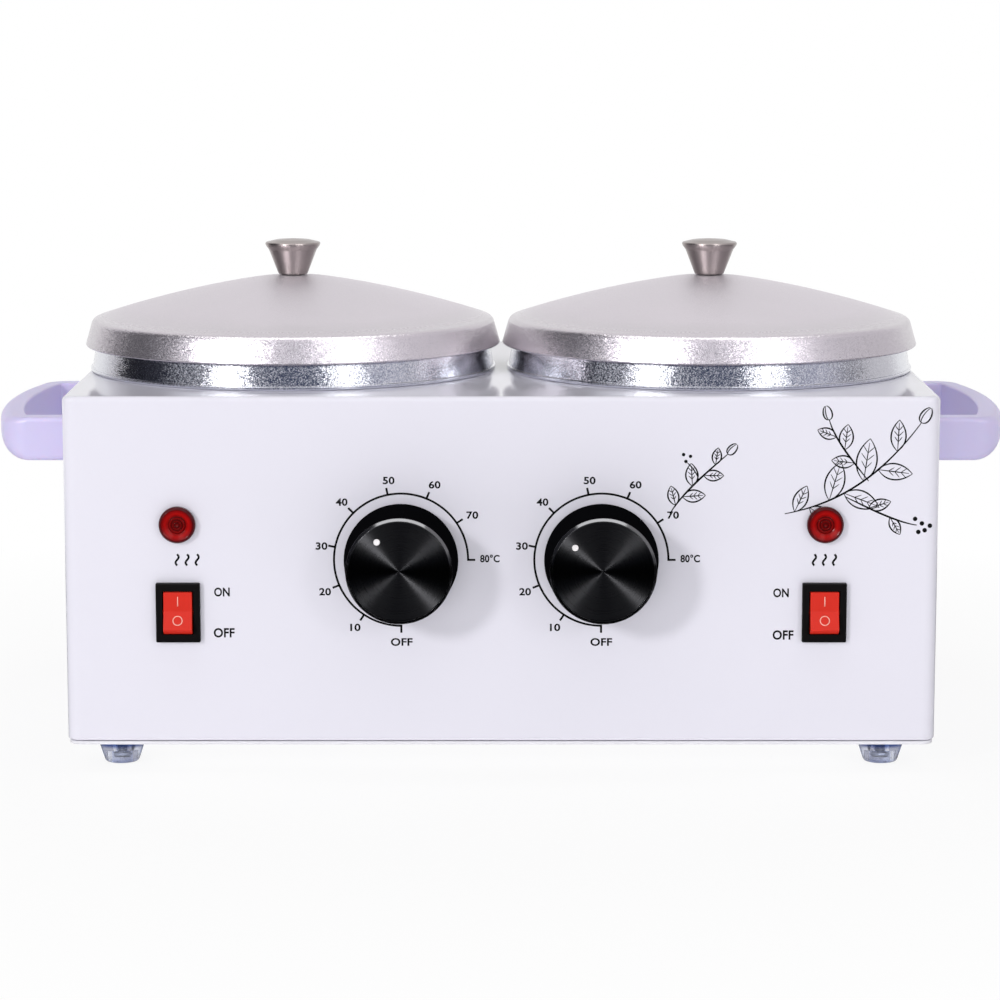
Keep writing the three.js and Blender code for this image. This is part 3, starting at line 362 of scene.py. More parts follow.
def ribbon(line: np.ndarray, width: float | np.ndarray, closed: bool = False) -> Shape:
    """A flat stroke along a line in the XY plane.

    Args:
        line: Points of the line.
        width: Width of the stroke, one number or one for each point.
        closed: Whether the line's end joins its start.

    Returns:
        The stroke's faces.
    """
    along = np.roll(line, -1, axis=0) - np.roll(line, 1, axis=0) if closed else np.gradient(line, axis=0)
    along /= np.linalg.norm(along, axis=1, keepdims=True) + 1e-9
    across = np.column_stack([-along[:, 1], along[:, 0]]) * np.broadcast_to(width, len(line))[:, None] / 2
    count = len(line)
    points = np.zeros((2 * count, 3))
    points[:, :2] = np.concatenate([line + across, line - across])
    left = np.arange(count if closed else count - 1)
    right = (left + 1) % count
    faces = np.stack([left, left + count, right + count, right], axis=1)
    return Shape(points, faces.reshape(-1), np.full(len(faces), 4), np.zeros((faces.size, 2)))


BOLD = 0.028  # how far a letter's outline is pushed out, as a share of the type's size
SPACING = 1.04  # distance from letter to letter, against the type's own
CURVE_STEPS = 5  # facets of each curve of a letter


def lettering(words: str, size: tuple[float, float], at: tuple[float, float]) -> Shape:
    """Plain bold lettering in the XY plane.

    Args:
        words: What it says.
        size: Its width and its height.
        at: Its centre.

    Returns:
        The letters' faces.
    """
    curve = bpy.data.curves.new("lettering", "FONT")
    curve.body, curve.resolution_u = words, CURVE_STEPS
    curve.space_character, curve.offset = SPACING, BOLD
    text = bpy.data.objects.new("lettering", curve)
    bpy.context.scene.collection.objects.link(text)
    graph = bpy.context.evaluated_depsgraph_get()
    mesh = bpy.data.meshes.new_from_object(text.evaluated_get(graph))
    shape = Shape.of(mesh)
    bpy.data.objects.remove(text)
    bpy.data.curves.remove(curve)
    bpy.data.meshes.remove(mesh)
    low, high = shape.points.min(axis=0), shape.points.max(axis=0)
    points = (shape.points - (low + high) / 2) * np.array([*(size / (high - low)[:2]), 0])
    points[:, :2] += at
    return shape.over(points)


# Finishes


def linear(code: str) -> tuple[float, float, float, float]:
    """Turns an sRGB hex code into linear light.

    Args:
        code: Six hex digits after a hash.

    Returns:
        Red, green, blue and a full alpha.
    """
    parts = [int(code[i : i + 2], 16) / 255 for i in (1, 3, 5)]
    light = [p / 12.92 if p <= 0.04045 else ((p + 0.055) / 1.055) ** 2.4 for p in parts]
    return (*light, 1.0)


def add_node(
    tree: bpy.types.NodeTree, kind: str, inputs: dict | None = None, **settings: object
) -> bpy.types.Node:
    """Adds a shader node.

    Args:
        tree: The node tree.
        kind: Node type, without its common start.
        inputs: A value or an output socket for each input, by name or number.
        **settings: Properties of the node itself.

    Returns:
        The node.
    """
    node = tree.nodes.new("ShaderNode" + kind)
    for key, value in settings.items():
        setattr(node, key, value)
    for key, value in (inputs or {}).items():
        if isinstance(value, bpy.types.NodeSocket):
            tree.links.new(value, node.inputs[key])
        else:
            node.inputs[key].default_value = value
    return node


def cleared(owner: bpy.types.Material | bpy.types.World) -> bpy.types.NodeTree:
    """Empties a node tree.

    Args:
        owner: The material or the world that it belongs to.

    Returns:
        The empty tree.
    """
    owner.use_nodes = True
    owner.node_tree.nodes.clear()
    return owner.node_tree


def along_profile(tree: bpy.types.NodeTree) -> bpy.types.NodeSocket:
    """The length along a turned piece's profile, in millimetres."""
    plane = add_node(tree, "UVMap", uv_map=SPIN_UV)
    return add_node(tree, "SeparateXYZ", {0: plane.outputs["UV"]}).outputs["Y"]


def ramp(
    tree: bpy.types.NodeTree, share: bpy.types.NodeSocket, stops: Sequence[tuple[float, str]]
) -> bpy.types.NodeSocket:
    """Colours a share by a row of stops.

    Args:
        tree: The node tree.
        share: What is coloured, from 0 to 1.
        stops: Each a share and its colour, from 0 up to 1.

    Returns:
        The colour.
    """
    node = add_node(tree, "ValToRGB", {"Fac": share})
    elements = node.color_ramp.elements
    for position, colour in stops[1:-1]:
        elements.new(position).color = linear(colour)
    elements[0].color, elements[-1].color = linear(stops[0][1]), linear(stops[-1][1])
    return node.outputs["Color"]


@dataclass(frozen=True)
class Finish:
    """A surface with a cloudy drift of colour and a fine grain in gloss and relief.

    Attributes:
        name: The real material and its process.
        slot: The record's material slot. Not used.
        colour: Main colour.
        drift_to: Colour that the cloudy drift leads to.
        metallic: Share of metal.
        roughness: Mean roughness.
        spread: How far the grain moves the roughness either way.
        grain: Size of the grain.
        relief: Depth of the grain.
        cloud: Size of the cloudy drift.
        flake: Size of the blasted facets.
        tilt: How far the facets lean, as a share of the surface's own direction.
        shine: Specular level, where 0.5 is plain plastic or paint.
        see_through: Share of light that passes.
        glow: Share of light scattered inside.
    """

    name: str
    slot: str
    colour: str
    drift_to: str
    metallic: float = 0.0
    roughness: float = 0.4
    spread: float = 0.05
    grain: float = 0.5
    relief: float = 0.01
    cloud: float = 30.0
    flake: float = 0.4
    tilt: float = 0.0
    shine: float = 0.5
    see_through: float = 0.0
    glow: float = 0.0

    def place(self, tree: bpy.types.NodeTree) -> bpy.types.NodeSocket:
        """The coordinates of the cloudy drift and the grain."""
        return add_node(tree, "TexCoord").outputs["Object"]

    def height(self, tree: bpy.types.NodeTree) -> bpy.types.NodeSocket:
        """The grain, from 0 to 1."""
        inputs = {"Vector": self.place(tree), "Scale": 1 / (self.grain * MM), "Detail": 3.0}
        return add_node(tree, "TexNoise", inputs).outputs["Fac"]

    def facets(self, tree: bpy.types.NodeTree, normal: bpy.types.NodeSocket) -> bpy.types.NodeSocket:
        """Leans the surface at random from grain to grain, as blasting and pickling do.

        A facet leans at most half of the tilt along each axis.

        Args:
            tree: The node tree.
            normal: The surface's direction.

        Returns:
            The direction of the facet.
        """
        cells = add_node(tree, "TexVoronoi", {"Vector": self.place(tree), "Scale": 1 / (self.flake * MM)})
        half = (0.5, 0.5, 0.5)
        centred = add_node(tree, "VectorMath", {0: cells.outputs["Color"], 1: half}, operation="SUBTRACT")
        lean = add_node(tree, "VectorMath", {0: centred.outputs[0], "Scale": self.tilt}, operation="SCALE")
        leant = add_node(tree, "VectorMath", {0: lean.outputs[0], 1: normal}, operation="ADD")
        return add_node(tree, "VectorMath", {0: leant.outputs[0]}, operation="NORMALIZE").outputs[0]

    def shade(self, tree: bpy.types.NodeTree, shader: bpy.types.Node) -> None:
        """Room for what a kind of finish adds to the shader."""

    @cache
    def material(self) -> bpy.types.Material:
        """Builds the material once.

        Returns:
            The material.
        """
        material = bpy.data.materials.new(self.name)
        tree = cleared(material)
        place = self.place(tree)
        cloud = add_node(tree, "TexNoise", {"Vector": place, "Scale": 1 / (self.cloud * MM), "Detail": 4.0})
        ends = {6: linear(self.colour), 7: linear(self.drift_to)}
        colour = add_node(tree, "Mix", {0: cloud.outputs["Fac"], **ends}, data_type="RGBA")
        height = self.height(tree)
        limits = {"To Min": self.roughness - self.spread, "To Max": self.roughness + self.spread}
        gloss = add_node(tree, "MapRange", {"Value": height, **limits})
        normal = add_node(tree, "Bump", {"Height": height, "Distance": self.relief * MM}).outputs["Normal"]
        if self.tilt:
            normal = self.facets(tree, normal)
        shader = add_node(
            tree,
            "BsdfPrincipled",
            {
                "Base Color": colour.outputs[2],
                "Metallic": self.metallic,
                "Roughness": gloss.outputs["Result"],
                "Normal": normal,
                "Specular IOR Level": self.shine,
                "Transmission Weight": self.see_through,
                "Subsurface Weight": self.glow,
                "Subsurface Scale": 2 * MM,
            },
        )
        self.shade(tree, shader)
        add_node(tree, "OutputMaterial", {"Surface": shader.outputs["BSDF"]})
        return material


@dataclass(frozen=True)
class SpunFinish(Finish):
    """Metal turned or spun on a lathe: tool lines run round the axis and stretch the highlights.

    A tool line's pattern repeats six times a turn at most, so that it runs long.

    Attributes:
        line: Width of a tool line.
        stretch: Strength of the stretched highlight.
        speckle: Share of the relief that is an even grain and not tool lines.
    """

    line: float = 0.25
    stretch: float = 0.6
    speckle: float = 0.0

    def height(self, tree: bpy.types.NodeTree) -> bpy.types.NodeSocket:
        """Tool lines along the turn, mixed with an even grain.

        Args:
            tree: The node tree.

        Returns:
            The relief, from 0 to 1.
        """
        plane = add_node(tree, "UVMap", uv_map=SPIN_UV)
        scale = (6.0, 1 / self.line, 1.0)
        scaled = add_node(tree, "VectorMath", {0: plane.outputs["UV"], 1: scale}, operation="MULTIPLY")
        lines = add_node(tree, "TexNoise", {"Vector": scaled.outputs[0], "Scale": 1.0, "Detail": 2.0})
        grain = super().height(tree)
        mixed = add_node(tree, "Mix", {0: self.speckle, 2: lines.outputs["Fac"], 3: grain}, data_type="FLOAT")
        return mixed.outputs[0]

    def shade(self, tree: bpy.types.NodeTree, shader: bpy.types.Node) -> None:
        """Stretches the highlight across the tool lines.

        Args:
            tree: The node tree.
            shader: The surface's shader.
        """
        tangent = add_node(tree, "Tangent", direction_type="UV_MAP", uv_map=SPIN_UV)
        tree.links.new(tangent.outputs["Tangent"], shader.inputs["Tangent"])
        shader.inputs["Anisotropic"].default_value = self.stretch
        shader.inputs["Anisotropic Rotation"].default_value = 0.25


@dataclass(frozen=True)
class BlastedFinish(Finish):
    """Metal blasted with beads, duller from its middle out to a certain length along its profile.

    Attributes:
        dull: What the dull part adds to the roughness.
        dull_to: Length along the profile at which the dull part starts to fade.
        bright_from: Length at which it has faded.
    """

    dull: float = 0.0
    dull_to: float = 60.0
    bright_from: float = 71.0

    def shade(self, tree: bpy.types.NodeTree, shader: bpy.types.Node) -> None:
        """Adds the dull part to the roughness.

        Args:
            tree: The node tree.
            shader: The surface's shader.
        """
        limits = {"From Min": self.dull_to, "From Max": self.bright_from, "To Min": self.dull, "To Max": 0.0}
        more = add_node(tree, "MapRange", {"Value": along_profile(tree), **limits})
        grain = shader.inputs["Roughness"].links[0].from_socket
        total = add_node(tree, "Math", {0: grain, 1: more.outputs["Result"]}, operation="ADD")
        tree.links.new(total.outputs[0], shader.inputs["Roughness"])


@dataclass(frozen=True)
class RingedFinish(Finish):
    """Clear resin coloured ring by ring: partly its depth, partly painted light and shade.

    Attributes:
        rings: Length along the moulded profile and colour of each step, painted light and shade included.
    """

    rings: tuple[tuple[float, str], ...] = ()

    def shade(self, tree: bpy.types.NodeTree, shader: bpy.types.Node) -> None:
        """Paints the rings' tones, light and shade included, by the length along the profile.

        Args:
            tree: The node tree.
            shader: The surface's shader.
        """
        last = self.rings[-1][0]
        share = add_node(tree, "Math", {0: along_profile(tree), 1: last}, operation="DIVIDE").outputs[0]
        stops = [(at / last, colour) for at, colour in self.rings]
        tree.links.new(ramp(tree, share, stops), shader.inputs["Base Color"])


# Sprayed and oven-baked: a mirror-like white skin with a faint lavender tint and soft orange peel.
ENAMEL = Finish(
    "stove_enamelled_steel", "enamel", "#E8E6F1", "#E5E3EE",
    roughness=0.05, spread=0.02, grain=3.2, relief=0.004, cloud=60,
)
# Coil-coated before it is cut: flatter and duller than the enamel.
COATED_SHEET = Finish(
    "coil_coated_sheet", "plate_enamel", "#EEEDF3", "#E8E7EE",
    roughness=0.3, grain=1.2, relief=0.01,
)
# Moulded and lightly textured: a satin lavender that scatters some light inside.
LAVENDER = Finish(
    "moulded_lavender_abs", "lavender_plastic", "#D5CDF2", "#D0C8ED",
    roughness=0.4, grain=0.5, relief=0.012, glow=0.15,
)
# Spun over a form, then polished: near mirror with tool lines and a hammered fine speckle.
POLISHED = SpunFinish(
    "spun_polished_aluminium", "spun_aluminium", "#D9DAE0", "#CFD0D8",
    metallic=1.0, roughness=0.1, spread=0.03, grain=0.75, relief=0.006, cloud=18, flake=0.24,
    tilt=0.15, line=0.2, stretch=0.35, speckle=0.75,
)
# Spun and left as it is: brighter tool lines inside the pots.
DRAWN = SpunFinish(
    "drawn_pot_aluminium", "spun_aluminium", "#D5D5DA", "#C9CACF",
    metallic=1.0, roughness=0.27, spread=0.08, grain=0.8, relief=0.02, cloud=25, line=0.45,
    stretch=0.5, speckle=0.2,
)
# Blasted with fine beads: an even frost that sparkles where it turns from light to dark.
FROSTED = BlastedFinish(
    "bead_blasted_aluminium", "frosted_aluminium", "#CEC8CE", "#C6C1C6",
    metallic=0.92, roughness=0.24, spread=0.04, grain=0.75, relief=0.01, cloud=40, flake=0.22,
    tilt=0.25, dull=0.25,
)
# Turned from bar: satin with a fine line round it.
TURNED_STEEL = SpunFinish(
    "turned_stainless_steel", "turned_steel", "#A49B99", "#958D8B",
    metallic=1.0, roughness=0.33, spread=0.08, grain=0.5, relief=0.012, cloud=8, line=0.12,
    stretch=0.6,
)
# Plated after cold forming: bluish and slightly mottled.
ZINC = Finish(
    "zinc_plated_steel", "zinc_steel", "#B9BBBF", "#A6A9AE",
    metallic=1.0, roughness=0.32, spread=0.1, grain=0.7, relief=0.01, cloud=4,
)
# Faced on a lathe and dyed: black, with highlights fanned out from the middle.
ANODISED = SpunFinish(
    "black_anodised_turned_aluminium", "anodised_aluminium", "#3D3D3F", "#363638",
    metallic=1.0, roughness=0.29, spread=0.06, grain=0.4, relief=0.012, cloud=12, line=0.16,
    stretch=1.0,
)
# Cut with a diamond after dyeing: a bare bright edge that mirrors what is above and stays dark elsewhere.
CUT_EDGE = SpunFinish(
    "diamond_cut_aluminium", "anodised_aluminium", "#707072", "#666668",
    metallic=1.0, roughness=0.15, spread=0.03, grain=0.4, relief=0.004, cloud=12, line=0.16,
    stretch=0.2,
)
# Dyed and sealed: a black skirt that hardly shines.
DYED_BLACK = Finish(
    "black_dyed_satin_aluminium", "anodised_aluminium", "#0B0B0D", "#08080A",
    roughness=0.7, grain=0.4, relief=0.01, cloud=10, shine=0.0,
)
# Moulded: black with a dull fine texture.
BLACK_NYLON = Finish(
    "moulded_black_nylon", "black_plastic", "#0B0809", "#080607",
    roughness=0.42, grain=0.35, relief=0.012, cloud=9, shine=0.12,
)
# Moulded in a polished tool: an even warm red.
RED_NYLON = Finish(
    "moulded_red_nylon", "red_plastic", "#D62716", "#D02413",
    roughness=0.45, grain=0.9, relief=0.002, cloud=7, shine=0.15,
)
# Clear red resin: deep on its thick outer rim, with painted light and shade in its rings.
RED_LENS = RingedFinish(
    "clear_red_polycarbonate", "red_lens", "#7E0808", "#6A0506",
    roughness=0.16, spread=0.03, grain=1.5, relief=0.004, cloud=4, shine=0.12,
    rings=(
        # The bright dish band and ring crests are a painted highlight, the dark grooves painted shade.
        (0.0, "#42050B"), (9.5, "#4A060B"), (10.1, "#84090B"), (11.2, "#A80C0C"), (12.3, "#8A0A0A"),
        (12.6, "#420507"), (13.5, "#860B0B"), (14.2, "#420507"), (15.0, "#800B0B"),
        (15.7, "#420507"), (16.5, "#7C0A0A"), (17.3, "#420507"),
    ),
)
# Soft vinyl: milky blue-grey that lets the floor and its screw show.
CLEAR_VINYL = RingedFinish(
    "milky_clear_vinyl", "foot_plastic", "#D6DBEC", "#C8CFE4",
    roughness=0.1, grain=0.9, relief=0.03, cloud=5, see_through=0.9,
    rings=(
        # The dark band from 9.6 to 19, over the upper side and top, is painted shade under the base plate,
        # partly the thicker wall.
        (0.0, "#A9B4D6"), (2.5, "#9AA6CC"), (4.2, "#DDE0EC"), (8.2, "#DDE0EC"), (9.6, "#4F67AC"),
        (19.0, "#4F67AC"), (21.0, "#D6DBEC"), (30.0, "#D6DBEC"),
    ),
)
# Pressed flakes under a steel wrap: brown with pearly clouds.
MICA = Finish(
    "pressed_mica_band", "mica", "#9C8B62", "#77684A",
    roughness=0.42, spread=0.15, grain=1.4, relief=0.05, cloud=5,
)
# Drawn tube, a little tarnished.
COPPER = Finish(
    "drawn_copper_tube", "copper", "#B8704A", "#96583C",
    metallic=1.0, roughness=0.3, grain=0.5, relief=0.01, cloud=6,
)
# Pressed powder: cream with fine dark specks.
PHENOLIC = Finish(
    "pressed_phenolic", "phenolic", "#CFC7B2", "#BDB49C",
    roughness=0.5, grain=0.4, relief=0.02, cloud=3,
)
# Screen print: a thin matt black film.
BLACK_INK = Finish(
    "screen_printed_black_ink", "black_plastic", "#040405", "#08080A",
    roughness=0.6, grain=0.3, relief=0.002, cloud=3, shine=0.1,
)
# Hot-stamped foil, thin enough that the red shines through.
PINK_FOIL = Finish(
    "hot_stamped_pale_foil", "plate_enamel", "#F3BCAF", "#EFB0A2",
    roughness=0.5, grain=0.3, relief=0.004, cloud=2,
)
# Filled engraving: flat white paint.
WHITE_INK = Finish(
    "filled_white_paint", "plate_enamel", "#F4F1F2", "#E9E4E6",
    roughness=0.5, grain=0.3, relief=0.004, cloud=2,
)


# Pieces


def piece(
    name: str,
    shape: Shape,
    finish: Finish,
    body: str,
    nodes: Sequence[str] = (),
    bevel: float = 0.0,
) -> bpy.types.Object:
    """Makes a finished piece of the scene.

    Args:
        name: Its name.
        shape: Its geometry, in place.
        finish: Its surface.
        body: The body that it rides on.
        nodes: CAD nodes that it stands for.
        bevel: Width of the soft edge that a modifier adds.

    Returns:
        The object.
    """
    made = bpy.data.objects.new(name, shape.mesh(name))
    bpy.context.scene.collection.objects.link(made)
    made.data.shade_smooth()
    made.data.set_sharp_from_angle(angle=SHARP)
    made.data.materials.append(finish.material())
    if bevel:
        edge = made.modifiers.new("soft_edge", "BEVEL")
        edge.width, edge.segments, edge.limit_method = bevel * MM, 3, "ANGLE"
        edge.harden_normals = True
    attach(made, body)
    if nodes:
        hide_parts(*nodes)
    LOG.info("%s: %d faces on %s", name, len(made.data.polygons), body)
    return made


def keep(frame: dict, node: str, finish: Finish) -> None:
    """Gives a CAD node that stays its finish.

    Args:
        node: The node's name.
        finish: Its surface.
    """
    data = frame["nodes"][node].data
    data.materials.clear()
    data.materials.append(finish.material())


def filmed(made: bpy.types.Object, thickness: float) -> None:
    """Turns every face of a flat piece to the front and gives it a film's thickness.

    Args:
        made: The flat piece, which lies on the front.
        thickness: The film's thickness.
    """
    work = bmesh.new()
    work.from_mesh(made.data)
    bmesh.ops.reverse_faces(work, faces=[face for face in work.faces if face.normal.y > 0])
    work.to_mesh(made.data)
    work.free()
    film = made.modifiers.new("film", "SOLIDIFY")
    film.thickness, film.offset = thickness * MM, -1


def span(node: str) -> tuple[np.ndarray, np.ndarray]:
    """Lowest and highest corner of a CAD node, in millimetres."""
    low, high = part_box(node)
    return np.array(low) / MM, np.array(high) / MM


def middle(node: str) -> np.ndarray:
    """Centre of a CAD node's box, in millimetres."""
    return sum(span(node)) / 2


@dataclass(frozen=True)
class Layout:
    """Places that several sub-assemblies share.

    Attributes:
        low: Lowest corner of the housing.
        high: Highest corner of the housing.
    """

    low: np.ndarray
    high: np.ndarray

    @classmethod
    def read(cls) -> "Layout":
        """Reads the places from the frame."""
        return cls(*span("housing_shell"))

    @property
    def front(self) -> float:
        """Y of the front panel's face."""
        return self.low[1]

    @property
    def top(self) -> float:
        """Z of the housing's top."""
        return self.high[2]

    @property
    def centre_y(self) -> float:
        """Y of the housing's middle."""
        return (self.low[1] + self.high[1]) / 2

    def well(self, side: Side) -> np.ndarray:
        """Centre of a well at the housing's top."""
        x = middle(f"heating_well_{side.tag}")[0]
        return np.array([x, self.centre_y, self.top])

    def on_panel(self, node: str) -> np.ndarray:
        """Centre of a node, brought forward to the panel's face."""
        x, _, z = middle(node)
        return np.array([x, self.front, z])


@dataclass(frozen=True)
class ScrewSizes:
    """Sizes of a pan-head screw.

    Attributes:
        radius: Radius of the shank.
        head_radius: Radius of the head.
        head_height: Height of the head.
        pitch: Pitch of the thread.
        thread: Depth of the thread.
        tip: How much thinner the tip is than the shank.
        recess: Length, width and depth of each arm of the cross.
    """

    radius: float = 1.9
    head_radius: float = 3.2
    head_height: float = 2.0
    pitch: float = 0.8
    thread: float = 0.35
    tip: float = 0.6
    recess: tuple[float, float, float] = (3.4, 0.75, 1.1)


class Fasteners:
    """All screws, each a pan head with a cross recess and a thread."""

    CLEARANCE = 0.3

    def __init__(self, sizes: ScrewSizes = ScrewSizes()) -> None:
        """Keeps the sizes."""
        self.sizes = sizes

    @cache
    def shape(self, length: float) -> Shape:
        """A screw that points up with the underside of its head at height zero.

        Args:
            length: Length of the shank.

        Returns:
            The closed shape.
        """
        s = self.sizes
        turns = int((length - 1) / s.pitch)
        heights = 0.5 + np.arange(2 * turns + 1) * s.pitch / 2
        radii = np.where(np.arange(2 * turns + 1) % 2, s.radius, s.radius - s.thread)
        thread = np.column_stack([radii, heights])
        top = -s.head_height
        head = rounded([(0, top, 0), (s.head_radius, top, 1.1), (s.head_radius, 0, 0.2)])
        neck = [(s.head_radius - 0.3, 0), (s.radius, 0)]
        profile = np.concatenate([head, neck, thread, [(s.radius - s.tip, length), (0, length)]])
        long, wide, deep = s.recess
        recess = [block(x, y, top - 1, top + deep) for x, y in ((long, wide), (wide, long))]
        return carved(turned(profile, SMALL_ROUND), *recess)

    def add(self, node: str, facing: Facing, body: str = HOUSING) -> None:
        """Puts a screw where a CAD screw is.

        Args:
            node: The CAD screw.
            facing: Which way it points.
            body: The body that it rides on.
        """
        low, high = span(node)
        way = np.array(facing.value[2], dtype=float)
        length = abs((high - low) @ way)
        start = (low + high) / 2 - way * (length / 2 - self.sizes.head_height)
        shape = self.shape(round(float(length - self.sizes.head_height), 3))
        piece(f"{node}_turned", shape.placed(facing, start), ZINC, body, [node])

    @property
    def bore(self) -> float:
        """Radius of a hole that a screw goes through."""
        return self.sizes.radius + self.CLEARANCE

    def hole(self, reach: float) -> Shape:
        """A cutter for a screw's hole, which reaches as far both ways."""
        return rod(self.bore, -reach, reach)


@dataclass(frozen=True)
class HousingSizes:
    """Sizes of the folded housing.

    Attributes:
        sheet: Thickness of the sheet.
        bend: Radius of the top bends.
        fold: Radius of the fold at the foot.
        corner: Radius of the corners in plan.
        lip: Width of the lip turned in at the foot.
        well_hole: Radius of the hole round a well.
        bush_hole: Radius of the hole for a thermostat's bush.
        lamp_hole: Radius of the hole for a lamp.
        switch_hole: Width and height of the hole for a switch.
        gland_hole: Radius of the hole for the cord gland.
        vent: Width and length of a vent slot in the base plate.
        vent_pitch: Distance from slot to slot.
        vents: Number of slots under each well.
    """

    sheet: float = 1.2
    bend: float = 3.4
    fold: float = 1.0
    corner: float = 4.6
    lip: float = 12.0
    well_hole: float = 71.0
    bush_hole: float = 5.3
    lamp_hole: float = 5.1
    switch_hole: tuple[float, float] = (13.5, 19.5)
    gland_hole: float = 6.5
    vent: tuple[float, float] = (4.0, 40.0)
    vent_pitch: float = 9.0
    vents: int = 4


@dataclass(frozen=True)
class GlandSizes:
    """Sizes of the cord gland. Heights count from the back wall's face.

    Attributes:
        bore: Radius of the cord's hole.
        tail: Radius and length of the tail inside the wall.
        flange: Radius and height of the flange.
        cap_foot: Radius of the cap at the flange.
        cap: Radius and height of the cap's end.
        nut: Inner radius, outer radius and height of the nut.
        nut_flat: Depth of the nut's flats.
    """

    bore: float = 3.6
    tail: tuple[float, float] = (6.2, 7.0)
    flange: tuple[float, float] = (9.0, 2.5)
    cap_foot: float = 6.6
    cap: tuple[float, float] = (5.2, 10.0)
    nut: tuple[float, float, float] = (6.3, 8.6, 4.0)
    nut_flat: float = 0.7


class Housing:
    """The enamelled housing with its base plate, cord gland and terminal block."""

    def __init__(self, layout: Layout, screws: Fasteners, sizes: HousingSizes = HousingSizes()) -> None:
        """Keeps what the pieces are worked out from."""
        self.layout, self.screws, self.sizes = layout, screws, sizes

    def ring(self, inset: float, z: float) -> np.ndarray:
        """One horizontal outline of the housing.

        Args:
            inset: How far it lies inside the walls.
            z: Its height.

        Returns:
            Its points.
        """
        width, depth = (self.layout.high - self.layout.low)[:2] - 2 * inset
        outline = box_outline(width, depth, max(self.sizes.corner - inset, 0.5))
        return level(outline + (0, self.layout.centre_y), z)

    def holes(self) -> list[Shape]:
        """The cutters of the shell.

        Returns:
            One shape for each hole, in place.
        """
        s, place = self.sizes, self.layout
        reach = s.sheet + OVERRUN
        cutters = [rod(s.gland_hole, -reach, reach).placed(Facing.BACK, self.gland_place())]
        for side in Side:
            cutters.append(rod(s.well_hole, -reach, reach, BIG_ROUND).placed(at=place.well(side)))
            for node, hole in (
                ("thermostat", rod(s.bush_hole, -reach, reach)),
                ("lamp_holder", rod(s.lamp_hole, -reach, reach)),
                ("switch_body", block(*s.switch_hole, -reach, reach)),
            ):
                cutters.append(hole.placed(Facing.FRONT, place.on_panel(f"{node}_{side.tag}")))
            for end in "ab":
                spot = place.on_panel(f"thermostat_screw_{side.tag}_{end}")
                cutters.append(self.screws.hole(reach).placed(Facing.FRONT, spot))
            for end in ENDS:
                x, y, z = middle(f"handle_screw_{end}_{side.tag}")
                wall = place.high[0] * side.value
                cutters.append(self.screws.hole(reach).placed(Facing.RIGHT, (wall, y, z)))
                x, y, z = middle(f"plate_screw_{end}_{side.tag}")
                cutters.append(self.screws.hole(reach).placed(at=(x, y, place.low[2])))
        return cutters

    def gland_place(self) -> np.ndarray:
        """Centre of the cord gland at the back wall's face."""
        x, _, z = middle("cord_gland")
        return np.array([x, self.layout.high[1], z])

    def shell(self) -> None:
        """Folds the sheet and cuts its holes."""
        s, low, top = self.sizes, self.layout.low[2], self.layout.top
        flat = s.bend + 0.5
        sides = [
            (flat, top, 0), (0, top, s.bend), (0, low, s.fold), (s.lip, low, 0),
            (s.lip, low + s.sheet, 0), (s.sheet, low + s.sheet, 0.3),
            (s.sheet, top - s.sheet, s.bend - s.sheet), (flat, top - s.sheet, 0),
        ]
        rings = np.stack([self.ring(inset, z) for inset, z in rounded(sides)])
        piece("housing_sheet", carved(loft(rings), *self.holes()), ENAMEL, HOUSING, ["housing_shell"])

    def plate(self) -> None:
        """Stamps the base plate with its vents and screw holes."""
        s = self.sizes
        low, high = span("base_plate")
        width, depth, height = high - low
        x, y, z = (low + high) / 2
        edge = rounded([(1, 0, 0), (0, 0, 0.3), (0, height, 0.3), (1, height, 0)])
        rings = []
        for inset, rise in edge:
            outline = box_outline(width - 2 * inset, depth - 2 * inset, s.corner - inset)
            rings.append(level(outline + (x, y), low[2] + rise))
        cutters = []
        slot = prism(box_outline(*s.vent, s.vent[0] / 2 - 0.01), -OVERRUN, OVERRUN)
        for side in Side:
            centre = self.layout.well(side)[0]
            for i in range(s.vents):
                cutters.append(slot.placed(at=(centre + (i - (s.vents - 1) / 2) * s.vent_pitch, y, z)))
            for end in ENDS:
                for kind in ("foot_screw", "plate_screw"):
                    spot = middle(f"{kind}_{end}_{side.tag}")
                    cutters.append(self.screws.hole(OVERRUN).placed(at=(spot[0], spot[1], z)))
        piece("base_sheet", carved(loft(np.stack(rings)), *cutters), COATED_SHEET, HOUSING, ["base_plate"])

    def gland(self) -> None:
        """Turns the cord gland and its nut, which sits inside the wall."""
        s, back = GlandSizes(), -self.sizes.sheet - SEAT
        tail, tail_end = s.tail
        flange, flange_top = s.flange
        cap, cap_end = s.cap
        body = rounded(
            [
                (s.bore, back - tail_end, 0.3), (tail, back - tail_end, 0.3), (tail, SEAT, 0),
                (flange, SEAT, 0.2), (flange, flange_top, 0.6), (s.cap_foot, flange_top, 0.3),
                (cap, cap_end, 0.9), (s.bore, cap_end, 0.5),
            ],
            closed=True,
        )
        inner, outer, height = s.nut
        low = back - height
        corners = [(inner, low, 0.2), (outer, low, 0.5), (outer, back, 0.5), (inner, back, 0.2)]
        nut = turned(rounded(corners, closed=True), ROUND, ring=True, flats=6, flat=s.nut_flat)
        shape = merged(turned(body, ROUND, ring=True), nut).placed(Facing.BACK, self.gland_place())
        piece("gland_bush", shape, BLACK_NYLON, HOUSING, ["cord_gland"])

    def build(self) -> None:
        """Makes every piece of the housing."""
        self.shell()
        self.plate()
        self.gland()
        for side in Side:
            for end in ENDS:
                self.screws.add(f"plate_screw_{end}_{side.tag}", Facing.UP)


